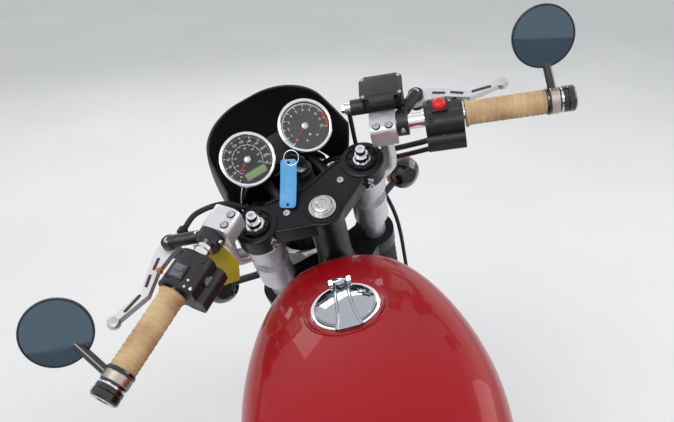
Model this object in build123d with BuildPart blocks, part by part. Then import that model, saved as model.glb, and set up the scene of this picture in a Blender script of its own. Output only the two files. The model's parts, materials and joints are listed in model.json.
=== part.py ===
"""Cafe racer motorcycle, parked on its side stand with the steering on its left stop.

The chassis is drawn upright in the bike frame: x forward, y left, z up, with the
origin on the ground under the rear axle. What steers is drawn in the steering frame:
its origin is on the steering axis at the top of the upper yoke, x points forward,
square to the axis, y left and z up along the axis. The last section turns the steering
to its stop, leans the machine onto its stand and moves the origin to the middle of
its footprint. All sizes are in millimetres and degrees.
"""

import os
from math import acos, cos, degrees, hypot, pi, radians, sin, sqrt, tan

from build123d import *

# Chassis geometry
wheelbase = 1490
rake = 27
trail = 97
lean_angle = 11.5
steering_lock = 21
yoke_distance = 1038

# Wheels and tyres
front_tyre_radius = 318.5
front_tyre_width = 102
front_rim_radius = 229
rear_tyre_radius = 320
rear_tyre_width = 130
rear_rim_radius = 216
front_disc_radius = 160
rear_disc_radius = 127.5
disc_thickness = 5
spoke_radius = 1.9
seat_gap = 0.3
guard_thickness = 3

# Fork and yokes
fork_half_spacing = 94
fork_offset = 36
stanchion_radius = 20.5
slider_radius = 27
yoke_thickness = 30
lower_yoke_top = -200
lower_yoke_thickness = 35
head_tube_radius = 28
stem_radius = 15
axle_radius = 10
axle_bore_radius = 6

# Handlebars
bar_radius = 11.1
bar_base = (34, 138, 49)
bar_direction = (-0.538, 0.840, 0.074)
bar_end = 249
grip_start = 117
grip_end = 229
grip_radius = 17.5
mirror_radius = 42.8

# Drive
chain_pitch = 15.875
front_teeth = 18
rear_teeth = 43
chain_line = 84
plate_offset = 5
output_shaft = (545, 335)
pivot = (455, 330)

# Body
tank_top = 889
filler_x = 930
filler_radius = 38.3
silencer_radius = 45

os.makedirs("parts", exist_ok=True)

steer_up = Vector(-sin(radians(rake)), 0, cos(radians(rake)))
steer_front = Vector(cos(radians(rake)), 0, sin(radians(rake)))
yoke_top = Vector(wheelbase + trail, 0, 0) + steer_up * yoke_distance
steering_plane = Plane(origin=yoke_top, x_dir=steer_front, z_dir=steer_up)
rear_axle_point = Vector(0, 0, rear_tyre_radius)
front_axle_point = steering_plane.to_local_coords(Vector(wheelbase, 0, front_tyre_radius))
level_front = Vector(cos(radians(rake)), 0, -sin(radians(rake)))
level_up = Vector(sin(radians(rake)), 0, cos(radians(rake)))
sides = (1, -1)


def rod(start, end, radius, mode=Mode.ADD):
    """A round bar from one point to another."""
    start = Vector(*start)
    end = Vector(*end)
    with BuildSketch(Plane(origin=start, z_dir=end - start)) as section:
        Circle(radius)
    extrude(section.sketch, amount=(end - start).length, mode=mode)


def lathe(origin, direction, outline, mode=Mode.ADD):
    """A turned solid. The outline lists distance along the axis and radius."""
    origin = Vector(*origin)
    direction = Vector(*direction)
    across = Vector(0, 0, 1) if abs(direction.normalized().Y) > 0.9 else Vector(0, 1, 0)
    with BuildSketch(Plane(origin=origin, x_dir=direction, z_dir=direction.cross(across))) as half:
        with BuildLine():
            Polyline((outline[0][0], 0), *outline, (outline[-1][0], 0), close=True)
        make_face()
    revolve(half.sketch, Axis(origin, direction), mode=mode)


def tube(points, radius, bend, mode=Mode.ADD):
    """A bent round tube through the corner points."""
    with BuildLine() as route:
        FilletPolyline(*points, radius=bend)
    with BuildSketch(Plane(origin=route.line @ 0, z_dir=route.line % 0)) as section:
        Circle(radius)
    sweep(section.sketch, path=route.line, mode=mode)


def guard(centre, inner, half_width, start, end):
    """A mudguard shell round a wheel centre, between two angles."""
    drop = 20
    wall = guard_thickness
    with BuildSketch(Plane(origin=centre, x_dir=(1, 0, 0), z_dir=(0, 0, 1))) as arch:
        with BuildLine():
            ThreePointArc((inner - drop, -half_width), (inner + wall, 0), (inner - drop, half_width))
            Line((inner - drop, half_width), (inner - drop, half_width - wall))
            ThreePointArc((inner - drop, half_width - wall), (inner, 0), (inner - drop, wall - half_width))
            Line((inner - drop, wall - half_width), (inner - drop, -half_width))
        make_face()
    axis = Axis(centre, (0, -1, 0))
    revolve(arch.sketch.rotate(axis, start), axis, revolution_arc=end - start)


def polar(centre, radius, angle, across):
    """A point round a wheel centre, with y across the wheel."""
    turn = radians(angle)
    return centre + Vector(radius * cos(turn), across, radius * sin(turn))


def tyre(centre, radius, width, bead_radius, bead_half):
    """A tyre as a ring whose crown is an arc as wide as the tyre."""
    crown = width / 2
    wall_foot = bead_radius + 16
    shoulder = radians(50)
    shoulder_radius = radius - crown * (1 - cos(shoulder))
    shoulder_half = crown * sin(shoulder)
    with BuildSketch(Plane(origin=centre, x_dir=(1, 0, 0), z_dir=(0, 0, 1))) as ring:
        with BuildLine():
            ThreePointArc((shoulder_radius, -shoulder_half), (radius, 0), (shoulder_radius, shoulder_half))
            ThreePointArc((shoulder_radius, shoulder_half), (radius - crown, crown), (wall_foot, bead_half))
            Line((wall_foot, bead_half), (bead_radius, bead_half))
            Line((bead_radius, bead_half), (bead_radius, -bead_half))
            Line((bead_radius, -bead_half), (wall_foot, -bead_half))
            ThreePointArc((wall_foot, -bead_half), (radius - crown, -crown), (shoulder_radius, -shoulder_half))
        make_face()
    revolve(ring.sketch, Axis(centre, (0, 1, 0)))


def wire_wheel(centre, rim_radius, bead_half, hub_outline, flange_radius, flange_half, spokes, bore):
    """Hub, crossed spokes and rim. The hub outline lists y and radius."""
    flange_height = 12
    rim_wall = 3.5
    seat = rim_radius - seat_gap
    inner = bead_half + seat_gap
    with BuildSketch(Plane(origin=centre, x_dir=(1, 0, 0), z_dir=(0, 0, 1))) as rim:
        with BuildLine():
            Polyline(
                (seat, -inner),
                (rim_radius + flange_height, -inner - 0.5),
                (rim_radius + flange_height, -inner - rim_wall),
                (seat - rim_wall, -inner - rim_wall),
                (seat - 20, -9),
                (seat - 20, 9),
                (seat - rim_wall, inner + rim_wall),
                (rim_radius + flange_height, inner + rim_wall),
                (rim_radius + flange_height, inner + 0.5),
                (seat, inner),
                close=True,
            )
        make_face()
    revolve(rim.sketch, Axis(centre, (0, 1, 0)))
    lathe(centre, (0, 1, 0), hub_outline)
    wires = []
    for index in range(spokes):
        side = 1 if index % 2 else -1
        lead = 1 if index % 4 < 2 else -1
        angle = 360 / spokes * index
        hub_end = polar(centre, flange_radius - 4, angle - lead * 62, side * flange_half + lead * 2)
        rim_end = polar(centre, seat - 18, angle, side * 6)
        wire = rim_end - hub_end
        wires.append(Solid.make_cylinder(spoke_radius, wire.length, Plane(origin=hub_end, z_dir=wire)))
    add(wires)
    reach = max(abs(row[0]) for row in hub_outline) + 1
    rod(centre - Vector(0, reach, 0), centre + Vector(0, reach, 0), bore, mode=Mode.SUBTRACT)


def along_bar(side, along, front=0, up=0):
    """A point by its distance along a handlebar, ahead of it and above it."""
    base = Vector(bar_base[0], side * bar_base[1], bar_base[2])
    direction = Vector(bar_direction[0], side * bar_direction[1], bar_direction[2]).normalized()
    top = (Vector(0, 0, 1) - direction * direction.Z).normalized()
    ahead = direction.cross(top) * side
    return base + direction * along + ahead * front + top * up


# Rear wheel
rear_bead_half = 50
with BuildPart() as rear_tyre:
    tyre(rear_axle_point, rear_tyre_radius, rear_tyre_width, rear_rim_radius, rear_bead_half)
rear_tyre.part.label = "rear_tyre"

rear_hub_half = 74
rear_carrier_y = chain_line - 3
with BuildPart() as rear_wheel:
    wire_wheel(
        rear_axle_point,
        rear_rim_radius,
        rear_bead_half,
        (
            (-rear_hub_half, 46),
            (-66, 46),
            (-64, 40),
            (-44, 40),
            (-44, 64),
            (-36, 64),
            (-34, 42),
            (30, 42),
            (34, 66),
            (42, 66),
            (42, 56),
            (rear_hub_half, 56),
        ),
        62,
        38,
        40,
        axle_radius + seat_gap,
    )
rear_wheel.part.label = "rear_wheel"

rear_disc_y = -rear_hub_half - seat_gap - disc_thickness
with BuildPart() as rear_disc:
    with BuildSketch(Plane(origin=rear_axle_point + Vector(0, rear_disc_y, 0), z_dir=(0, 1, 0))):
        Circle(rear_disc_radius)
        Circle(30, mode=Mode.SUBTRACT)
        with PolarLocations(68, 6):
            Circle(22, mode=Mode.SUBTRACT)
    extrude(amount=disc_thickness)
rear_disc.part.label = "rear_disc"

rear_pitch_radius = chain_pitch / 2 / sin(pi / rear_teeth)
front_pitch_radius = chain_pitch / 2 / sin(pi / front_teeth)
sprocket_thickness = 6
with BuildPart() as rear_sprocket:
    with BuildSketch(Plane(origin=rear_axle_point + Vector(0, rear_carrier_y, 0), z_dir=(0, 1, 0))):
        Circle(rear_pitch_radius + 4)
        with PolarLocations(rear_pitch_radius + 3, rear_teeth):
            RegularPolygon(5.5, 3, rotation=60, mode=Mode.SUBTRACT)
        Circle(34, mode=Mode.SUBTRACT)
        with PolarLocations(72, 5):
            Circle(17, mode=Mode.SUBTRACT)
    extrude(amount=sprocket_thickness)
    lathe(
        rear_axle_point,
        (0, 1, 0),
        ((rear_hub_half + seat_gap, 50), (rear_carrier_y + 1, 50)),
    )
    rod(
        rear_axle_point,
        rear_axle_point + Vector(0, 100, 0),
        axle_radius + 6,
        mode=Mode.SUBTRACT,
    )
rear_sprocket.part.label = "rear_sprocket"

# Front wheel, in the steering frame
front_bead_half = 32
with BuildPart() as front_tyre:
    tyre(front_axle_point, front_tyre_radius, front_tyre_width, front_rim_radius, front_bead_half)
front_tyre.part.label = "front_tyre"

front_hub_half = 50
with BuildPart() as front_wheel:
    wire_wheel(
        front_axle_point,
        front_rim_radius,
        front_bead_half,
        (
            (-front_hub_half, 45),
            (-44, 45),
            (-42, 30),
            (-36, 30),
            (-34, 44),
            (-28, 44),
            (-26, 27),
            (26, 27),
            (28, 44),
            (34, 44),
            (36, 25),
            (front_hub_half, 22),
        ),
        42,
        31,
        36,
        axle_radius + seat_gap,
    )
front_wheel.part.label = "front_wheel"

front_disc_y = -front_hub_half - seat_gap - disc_thickness
with BuildPart() as front_disc:
    with BuildSketch(Plane(origin=front_axle_point + Vector(0, front_disc_y, 0), z_dir=(0, 1, 0))):
        Circle(front_disc_radius)
        Circle(30, mode=Mode.SUBTRACT)
        with PolarLocations(88, 8):
            Circle(24, mode=Mode.SUBTRACT)
    extrude(amount=disc_thickness)
front_disc.part.label = "front_disc"

# Fork, yokes and axle, in the steering frame
fork_cap_top = 8
adjuster_top = 28
gaiter_top = lower_yoke_top - lower_yoke_thickness
gaiter_bottom = gaiter_top - 165
stanchion_bottom = gaiter_bottom - 90
tube_fit = 0.15

with BuildPart() as top_yoke:
    with BuildSketch(Plane.XY.offset(-yoke_thickness)):
        with BuildLine():
            Polyline(
                (fork_offset + 26, fork_half_spacing),
                (fork_offset + 14, 0),
                (fork_offset + 26, -fork_half_spacing),
                (fork_offset - 22, -fork_half_spacing),
                (-20, -18),
                (-20, 18),
                (fork_offset - 22, fork_half_spacing),
                close=True,
            )
        make_face()
        with Locations((fork_offset, fork_half_spacing), (fork_offset, -fork_half_spacing)):
            Circle(33)
        Circle(29)
        with Locations((fork_offset, fork_half_spacing), (fork_offset, -fork_half_spacing)):
            Circle(stanchion_radius + tube_fit, mode=Mode.SUBTRACT)
        Circle(stem_radius + tube_fit, mode=Mode.SUBTRACT)
    extrude(amount=yoke_thickness)
top_yoke.part.label = "top_yoke"

with BuildPart() as lower_yoke:
    with BuildSketch(Plane.XY.offset(lower_yoke_top - lower_yoke_thickness)):
        with BuildLine():
            Polyline(
                (fork_offset + 28, fork_half_spacing),
                (fork_offset + 20, 0),
                (fork_offset + 28, -fork_half_spacing),
                (fork_offset - 26, -fork_half_spacing),
                (-24, -24),
                (-24, 24),
                (fork_offset - 26, fork_half_spacing),
                close=True,
            )
        make_face()
        with Locations((fork_offset, fork_half_spacing), (fork_offset, -fork_half_spacing)):
            Circle(35)
        Circle(34)
        with Locations((fork_offset, fork_half_spacing), (fork_offset, -fork_half_spacing)):
            Circle(stanchion_radius + tube_fit, mode=Mode.SUBTRACT)
    extrude(amount=lower_yoke_thickness)
    rod((0, 0, lower_yoke_top - 1), (0, 0, 0), stem_radius)
lower_yoke.part.label = "lower_yoke"

with BuildPart() as stem_nut:
    lathe((0, 0, 0), (0, 0, 1), ((seat_gap, 20), (4, 20), (4, 16), (9, 16), (11, 13)))
stem_nut.part.label = "stem_nut"

with BuildPart() as fork_tubes:
    for side in sides:
        rod(
            (fork_offset, side * fork_half_spacing, stanchion_bottom),
            (fork_offset, side * fork_half_spacing, 0),
            stanchion_radius,
        )
fork_tubes.part.label = "fork_tubes"

with BuildPart() as fork_caps:
    for side in sides:
        lathe(
            (fork_offset, side * fork_half_spacing, 0),
            (0, 0, 1),
            ((seat_gap, 21), (fork_cap_top - 2, 21), (fork_cap_top, 18), (fork_cap_top, 10), (16, 10), (16, 7.5), (adjuster_top, 7.5)),
        )
fork_caps.part.label = "fork_caps"

with BuildPart() as fork_gaiters:
    folds = 9
    fold_height = (gaiter_top - gaiter_bottom) / folds
    profile = []
    for fold in range(folds):
        low = gaiter_bottom + fold * fold_height
        profile.append((low, 29))
        profile.append((low + fold_height / 2, 36 - fold * 0.3))
    profile.append((gaiter_top - seat_gap, 29))
    for side in sides:
        centre = Vector(fork_offset, side * fork_half_spacing, 0)
        lathe(centre, (0, 0, 1), profile)
        rod(centre + Vector(0, 0, gaiter_bottom - 1), centre + Vector(0, 0, gaiter_top), 25, mode=Mode.SUBTRACT)
fork_gaiters.part.label = "fork_gaiters"

with BuildPart() as fork_sliders:
    for side in sides:
        foot = Vector(fork_offset, side * fork_half_spacing, 0)
        lathe(
            foot,
            (0, 0, 1),
            (
                (front_axle_point.Z + 34, slider_radius),
                (gaiter_bottom - 30, slider_radius),
                (gaiter_bottom - 24, slider_radius + 3),
                (gaiter_bottom - seat_gap, slider_radius + 3),
            ),
        )
        lug = Vector(front_axle_point.X, side * fork_half_spacing, front_axle_point.Z)
        with BuildSketch(Plane(origin=lug + Vector(0, 22, 0), x_dir=(1, 0, 0), z_dir=(0, -1, 0))) as shoe:
            Circle(25)
            with BuildLine():
                Polyline((24, 0), (8, 60), (-46, 60), (-46, 20), (-24, -6), close=True)
            make_face()
        extrude(shoe.sketch, amount=44)
        rod(foot + Vector(0, 0, stanchion_bottom - 4), foot + Vector(0, 0, gaiter_bottom + 1), stanchion_radius + tube_fit, mode=Mode.SUBTRACT)
        rod(lug - Vector(0, 40, 0), lug + Vector(0, 40, 0), axle_radius + tube_fit, mode=Mode.SUBTRACT)
fork_sliders.part.label = "fork_sliders"

with BuildPart() as front_axle:
    lathe(
        front_axle_point,
        (0, 1, 0),
        (
            (-128, axle_radius),
            (-fork_half_spacing + 22.5, axle_radius),
            (-fork_half_spacing + 22.5, 17),
            (-front_hub_half - 0.5, 17),
            (-front_hub_half - 0.5, axle_radius),
            (front_hub_half + 0.5, axle_radius),
            (front_hub_half + 0.5, 17),
            (fork_half_spacing - 22.5, 17),
            (fork_half_spacing - 22.5, axle_radius),
            (fork_half_spacing + 22.5, axle_radius),
            (fork_half_spacing + 22.5, 16),
            (fork_half_spacing + 34, 16),
        ),
    )
    rod(front_axle_point - Vector(0, 130, 0), front_axle_point + Vector(0, 130, 0), axle_bore_radius, mode=Mode.SUBTRACT)
front_axle.part.label = "front_axle"

guard_inner = front_tyre_radius + 16
with BuildPart() as front_mudguard:
    guard(front_axle_point, guard_inner, 56, 16, 118)
    for side in sides:
        for angle in (30, 120):
            rod(
                polar(front_axle_point, guard_inner - 17, angle, side * 55),
                (fork_offset - 8, side * 61, front_axle_point.Z + 150),
                4,
            )
        rod(
            (fork_offset - 8, side * (fork_half_spacing - slider_radius - 8), front_axle_point.Z + 150),
            (fork_offset - 8, side * (fork_half_spacing - slider_radius - seat_gap), front_axle_point.Z + 150),
            10,
        )
front_mudguard.part.label = "front_mudguard"

with BuildPart() as front_caliper:
    caliper_angle = 142
    caliper_centre = polar(front_axle_point, front_disc_radius - 22, caliper_angle, front_disc_y + disc_thickness / 2)
    radial = (caliper_centre - front_axle_point).normalized()
    with BuildSketch(Plane(origin=caliper_centre - Vector(0, 30, 0), x_dir=radial, z_dir=(0, 1, 0))) as body:
        RectangleRounded(62, 110, 18)
    extrude(body.sketch, amount=45)
    with BuildSketch(Plane(origin=caliper_centre - Vector(0, 5, 0), x_dir=radial, z_dir=(0, 1, 0))) as slot:
        with Locations((-8, 0)):
            Rectangle(64, 130)
    extrude(slot.sketch, amount=10, mode=Mode.SUBTRACT)
    caliper_seat = fork_offset - slider_radius - 0.4
    rod((caliper_seat - 40, -fork_half_spacing + 6, -610), (caliper_seat, -fork_half_spacing + 6, -610), 14)
front_caliper.part.label = "front_caliper"

# Handlebars and what they carry, in the steering frame
riser_low = -68
riser_high = -34
with BuildPart() as bar_risers:
    for side in sides:
        leg = Vector(fork_offset, side * fork_half_spacing, 0)
        rod(leg + Vector(0, 0, riser_low), leg + Vector(0, 0, riser_high), 32)
        with BuildSketch(Plane.XY.offset(riser_low)) as arm:
            with Locations((bar_base[0], side * bar_base[1])):
                RectangleRounded(32, 20, 7)
        extrude(arm.sketch, amount=bar_base[2] - riser_low - 4)
        with BuildSketch(Plane.XY.offset(riser_low)) as web:
            with Locations((bar_base[0], side * (fork_half_spacing + 25))):
                Rectangle(32, 40)
        extrude(web.sketch, amount=riser_high - riser_low)
        rod(along_bar(side, -18), along_bar(side, 18), 20)
        rod(leg + Vector(0, 0, riser_low - 1), leg + Vector(0, 0, riser_high + 1), stanchion_radius + tube_fit, mode=Mode.SUBTRACT)
        rod(along_bar(side, -24), along_bar(side, 24), bar_radius + tube_fit, mode=Mode.SUBTRACT)
bar_risers.part.label = "bar_risers"

with BuildPart() as handlebars:
    for side in sides:
        rod(along_bar(side, -20), along_bar(side, bar_end), bar_radius)
        lathe(
            along_bar(side, bar_end - 1),
            along_bar(side, 1) - along_bar(side, 0),
            ((0, 16), (14, 18), (19, 14)),
        )
handlebars.part.label = "handlebars"

with BuildPart() as grips:
    for side in sides:
        lathe(
            along_bar(side, grip_start),
            along_bar(side, 1) - along_bar(side, 0),
            ((0, grip_radius + 3), (5, grip_radius + 3), (9, grip_radius), (grip_end - grip_start, grip_radius)),
        )
        rod(along_bar(side, grip_start - 1), along_bar(side, grip_end + 1), bar_radius + tube_fit, mode=Mode.SUBTRACT)
grips.part.label = "grips"

switch_start = 60
switch_end = 114
with BuildPart() as switch_blocks:
    for side in sides:
        rod(along_bar(side, switch_start), along_bar(side, switch_end), 24)
        with BuildSketch(
            Plane(
                origin=along_bar(side, switch_start),
                x_dir=along_bar(side, 0, 1) - along_bar(side, 0),
                z_dir=along_bar(side, 1) - along_bar(side, 0),
            )
        ) as box_section:
            with Locations((-6, side * 3)):
                RectangleRounded(50, 50, 12)
            with Locations((-26, side * 16)):
                RectangleRounded(32, 30, 10)
        extrude(box_section.sketch, amount=switch_end - switch_start)
        rod(along_bar(side, switch_start - 1), along_bar(side, switch_end + 1), bar_radius + tube_fit, mode=Mode.SUBTRACT)
switch_blocks.part.label = "switch_blocks"

# Lever outline: distance along the bar and ahead of it
lever_edge = (
    (38, 50),
    (48, 64),
    (66, 66),
    (92, 60),
    (128, 47),
    (174, 62),
    (182, 54),
    (128, 35),
    (92, 44),
    (62, 42),
    (46, 38),
)
lever_pivot = (50, 52)
lever_low = -16
lever_thickness = 10
with BuildPart() as levers:
    for side in sides:
        up = along_bar(side, 0, 0, 1) - along_bar(side, 0)
        along = along_bar(side, 1) - along_bar(side, 0)
        with BuildSketch(Plane(origin=along_bar(side, 0, 0, lever_low), x_dir=along, z_dir=up)) as blade:
            with BuildLine():
                Polyline(*[(row[0], -side * row[1]) for row in lever_edge], close=True)
            make_face()
            with Locations((lever_pivot[0], -side * lever_pivot[1])):
                Circle(4 + tube_fit, mode=Mode.SUBTRACT)
        extrude(blade.sketch, amount=lever_thickness)
levers.part.label = "levers"


def perch(side):
    """The clamp, arm and pivot that carry a hand lever."""
    low = lever_low - tube_fit
    high = lever_low + lever_thickness + tube_fit
    rod(along_bar(side, 20), along_bar(side, 36), 19)
    rod(along_bar(side, 28, 18), along_bar(side, *lever_pivot), 9)
    rod(along_bar(side, *lever_pivot, low - 9), along_bar(side, *lever_pivot, high + 8), 11)
    rod(along_bar(side, 19), along_bar(side, 37), bar_radius + tube_fit, mode=Mode.SUBTRACT)
    rod(along_bar(side, *lever_pivot, low), along_bar(side, *lever_pivot, high), 19, mode=Mode.SUBTRACT)
    rod(along_bar(side, *lever_pivot, low - 9), along_bar(side, *lever_pivot, high + 8), 4)


with BuildPart() as clutch_perch:
    perch(1)
clutch_perch.part.label = "clutch_perch"

with BuildPart() as master_cylinder:
    perch(-1)
    rod(along_bar(-1, -46, 34, 10), along_bar(-1, 33, 34, 10), 12)
    cup_up = along_bar(-1, 0, 0, 1) - along_bar(-1, 0)
    cup_along = along_bar(-1, 1) - along_bar(-1, 0)
    with BuildSketch(Plane(origin=along_bar(-1, 3, 38, 16), x_dir=cup_along, z_dir=cup_up)) as cup:
        RectangleRounded(60, 40, 8)
    extrude(cup.sketch, amount=26)
master_cylinder.part.label = "master_cylinder"

# Mirrors: centre and the direction that the glass faces
mirror_rows = (
    (1, (-19, 369, 106), (-0.747, 0.029, 0.664)),
    (-1, (-36, -362, 130), (-0.72, 0.40, 0.56)),
)
with BuildPart() as mirrors:
    for side, centre, facing in mirror_rows:
        centre = Vector(*centre)
        facing = Vector(*facing).normalized()
        lathe(centre, facing, ((-16, 22), (-11, 34), (0, mirror_radius), (4, mirror_radius), (4, mirror_radius - 2)))
        clamp = along_bar(side, 240)
        rod(along_bar(side, grip_end + 2), along_bar(side, bar_end - 1 - seat_gap), 18)
        reach = centre - clamp
        rod(clamp + reach.normalized() * 8, centre - facing * 12 - reach.normalized() * 18, 6)
        rod(along_bar(side, grip_end), along_bar(side, bar_end), bar_radius + tube_fit, mode=Mode.SUBTRACT)
mirrors.part.label = "mirrors"

# Instruments, in the steering frame
gauge_rows = ((120, 51, 36.5), (120, -51, 36.5))
gauge_facing = Vector(-0.5, 0, sqrt(0.75))
gauge_radius = 42
with BuildPart() as gauges:
    for centre in gauge_rows:
        lathe(
            centre,
            gauge_facing,
            ((-58, 24), (-52, 30), (-14, 39), (-6, 40), (-6, gauge_radius), (0, gauge_radius)),
        )
        lathe(centre, gauge_facing, ((-4, 38), (1, 38)), mode=Mode.SUBTRACT)
    with BuildSketch(Plane(origin=Vector(120, 0, 36.5) - gauge_facing * 48, x_dir=(0, 1, 0), z_dir=gauge_facing)) as shelf:
        RectangleRounded(120, 44, 8)
    extrude(shelf.sketch, amount=5)
    for side in sides:
        rod((56.4, side * 40, -12), (138, side * 40, -12), 7)
gauges.part.label = "gauges"

with BuildPart() as ignition_switch:
    rod((76, -10, -34), (76, -10, 8), 17)
    rod((76, -10, 8), (76, -10, 12), 13)
    with BuildSketch(Plane.XY.offset(-27)) as lug:
        with Locations((62, -10)):
            Rectangle(17.6, 22)
    extrude(lug.sketch, amount=22)
    with BuildSketch(Plane(origin=(76, -10, 12), x_dir=(0.8, 0.6, 0), z_dir=(0.6, -0.8, 0))) as key:
        with Locations((0, 14)):
            RectangleRounded(24, 28, 6)
    extrude(key.sketch, amount=1.5, both=True)
ignition_switch.part.label = "ignition_switch"

# Headlamp and screen, in the steering frame
lamp_centre = level_front * 150 - level_up * 65
lamp_radius = 95
with BuildPart() as headlamp:
    lathe(
        lamp_centre,
        level_front,
        (
            (-58, 20),
            (-50, 40),
            (-30, 66),
            (-5, 82),
            (30, 90),
            (34, lamp_radius),
            (48, lamp_radius),
            (54, 88),
            (60, 60),
            (62, 20),
        ),
    )
headlamp.part.label = "headlamp"

with BuildPart() as headlamp_brackets:
    for side in sides:
        leg = Vector(fork_offset, side * fork_half_spacing, 0)
        rod(leg + Vector(0, 0, -150), leg + Vector(0, 0, -95), 29)
        with BuildSketch(Plane(origin=(0, side * 103 + 3, 0), x_dir=(1, 0, 0), z_dir=(0, -1, 0))) as ear:
            with BuildLine():
                Polyline(
                    (fork_offset, -145),
                    (fork_offset, -100),
                    (lamp_centre.X + 12, lamp_centre.Z + 14),
                    (lamp_centre.X + 12, lamp_centre.Z - 14),
                    close=True,
                )
            make_face()
        extrude(ear.sketch, amount=6)
        rod(leg + Vector(0, 0, -151), leg + Vector(0, 0, -94), stanchion_radius + tube_fit, mode=Mode.SUBTRACT)
        rod(lamp_centre + Vector(0, side * 85.7, 0), lamp_centre + Vector(0, side * 101, 0), 10)
headlamp_brackets.part.label = "headlamp_brackets"

# Level sections of the screen: height, half width and front reach
screen_rows = ((-75, 102, 203), (0, 108, 205), (74, 106, 195), (150, 84, 158))
screen_wall = 3
level_plane = Plane(origin=(0, 0, 0), x_dir=level_front, z_dir=level_up)


def screen_body(inset, mode):
    """The screen's D-shaped outside, or its inside where inset is its wall."""
    sections = []
    for height, half_width, front in screen_rows:
        half = half_width - inset
        reach = front - inset
        with BuildSketch(level_plane.offset(height)) as section:
            with BuildLine():
                FilletPolyline(
                    (30, half),
                    (reach, half),
                    (reach, -half),
                    (30, -half),
                    radius=72,
                )
                Line((30, -half), (30, half))
            make_face()
        sections.append(section.sketch)
    loft(sections, mode=mode)


with BuildPart() as fly_screen:
    screen_body(0, Mode.ADD)
    screen_body(screen_wall, Mode.SUBTRACT)
    with BuildSketch(Plane(origin=(0, 0, 0), x_dir=level_front, z_dir=Vector(0, -1, 0))) as keep:
        with BuildLine():
            Polyline((60, 68), (161, 146), (260, 150), (260, -60), (176, -60), (118, 0), close=True)
        make_face()
    extrude(keep.sketch, amount=150, both=True, mode=Mode.INTERSECT)
    rod(
        lamp_centre - level_front * 10,
        lamp_centre + level_front * 120,
        lamp_radius + 3,
        mode=Mode.SUBTRACT,
    )
    for side in sides:
        tab = level_front * 150 - level_up * 25
        rod(tab + Vector(0, side * 97, 0), tab + Vector(0, side * 103, 0), 5)
        with BuildSketch(Plane(origin=(0, side * 99.7, 0), x_dir=level_front, z_dir=(0, -side, 0))) as strap:
            with Locations((150, -side * 36)):
                Rectangle(14, 36)
        extrude(strap.sketch, amount=3)
fly_screen.part.label = "fly_screen"

with BuildPart() as front_indicators:
    for side in sides:
        stalk = Vector(0.32, side * 0.947, 0).normalized()
        root = Vector(fork_offset, side * fork_half_spacing, -138) + stalk * 29.4
        tip = root + stalk * 64
        rod(root, tip, 6)
        lathe(tip - level_front * 22, level_front, ((0, 14), (10, 26), (30, 29), (36, 24)))
front_indicators.part.label = "front_indicators"

# Where the machine stands: leaning turn, small pitch so that both tyres touch
steering = steering_plane.location * Rot(0, 0, steering_lock)


def lowest(centre, axle, radius, crown):
    """Height of the lowest point of a leaning tyre."""
    return centre.Z - (radius - crown) * sqrt(1 - axle.Z**2) - crown


def turned(location, vector):
    """A direction carried along by a location."""
    start = location * Pos(0, 0, 0)
    end = location * Pos(vector.X, vector.Y, vector.Z)
    return end.position - start.position


def carried(location, point):
    """A point carried along by a location."""
    return (location * Pos(point.X, point.Y, point.Z)).position


pitch = 0
for attempt in range(6):
    tilt = Rot(0, pitch, 0) * Rot(-lean_angle, 0, 0)
    rear_low = lowest(
        carried(tilt, rear_axle_point),
        turned(tilt, Vector(0, 1, 0)),
        rear_tyre_radius,
        rear_tyre_width / 2,
    )
    front_low = lowest(
        carried(tilt * steering, front_axle_point),
        turned(tilt * steering, Vector(0, 1, 0)),
        front_tyre_radius,
        front_tyre_width / 2,
    )
    pitch = pitch + degrees((front_low - rear_low) / wheelbase)
standing = Pos(0, 0, -rear_low) * tilt


def ground_below(x, y):
    """The point of the ground plane at x and y of the bike frame."""
    base = carried(standing, Vector(x, y, 0)).Z
    rise = carried(standing, Vector(x, y, 1)).Z - base
    return Vector(x, y, -base / rise)


# Side stand: its pivot, its foot on the ground and the way that it folds
stand_pivot = Vector(640, 122, 160)
stand_boss_half = 9
stand_foot = ground_below(700, 240)
ground_up = (carried(standing.inverse(), Vector(0, 0, 1)) - carried(standing.inverse(), Vector(0, 0, 0))).normalized()
stand_folded = Vector(-0.96, 0.16, -0.2).normalized()
stand_down = (stand_foot - stand_pivot).normalized()
stand_axis = stand_down.cross(stand_folded).normalized()
stand_swing = degrees(acos(stand_down.dot(stand_folded)))

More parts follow.
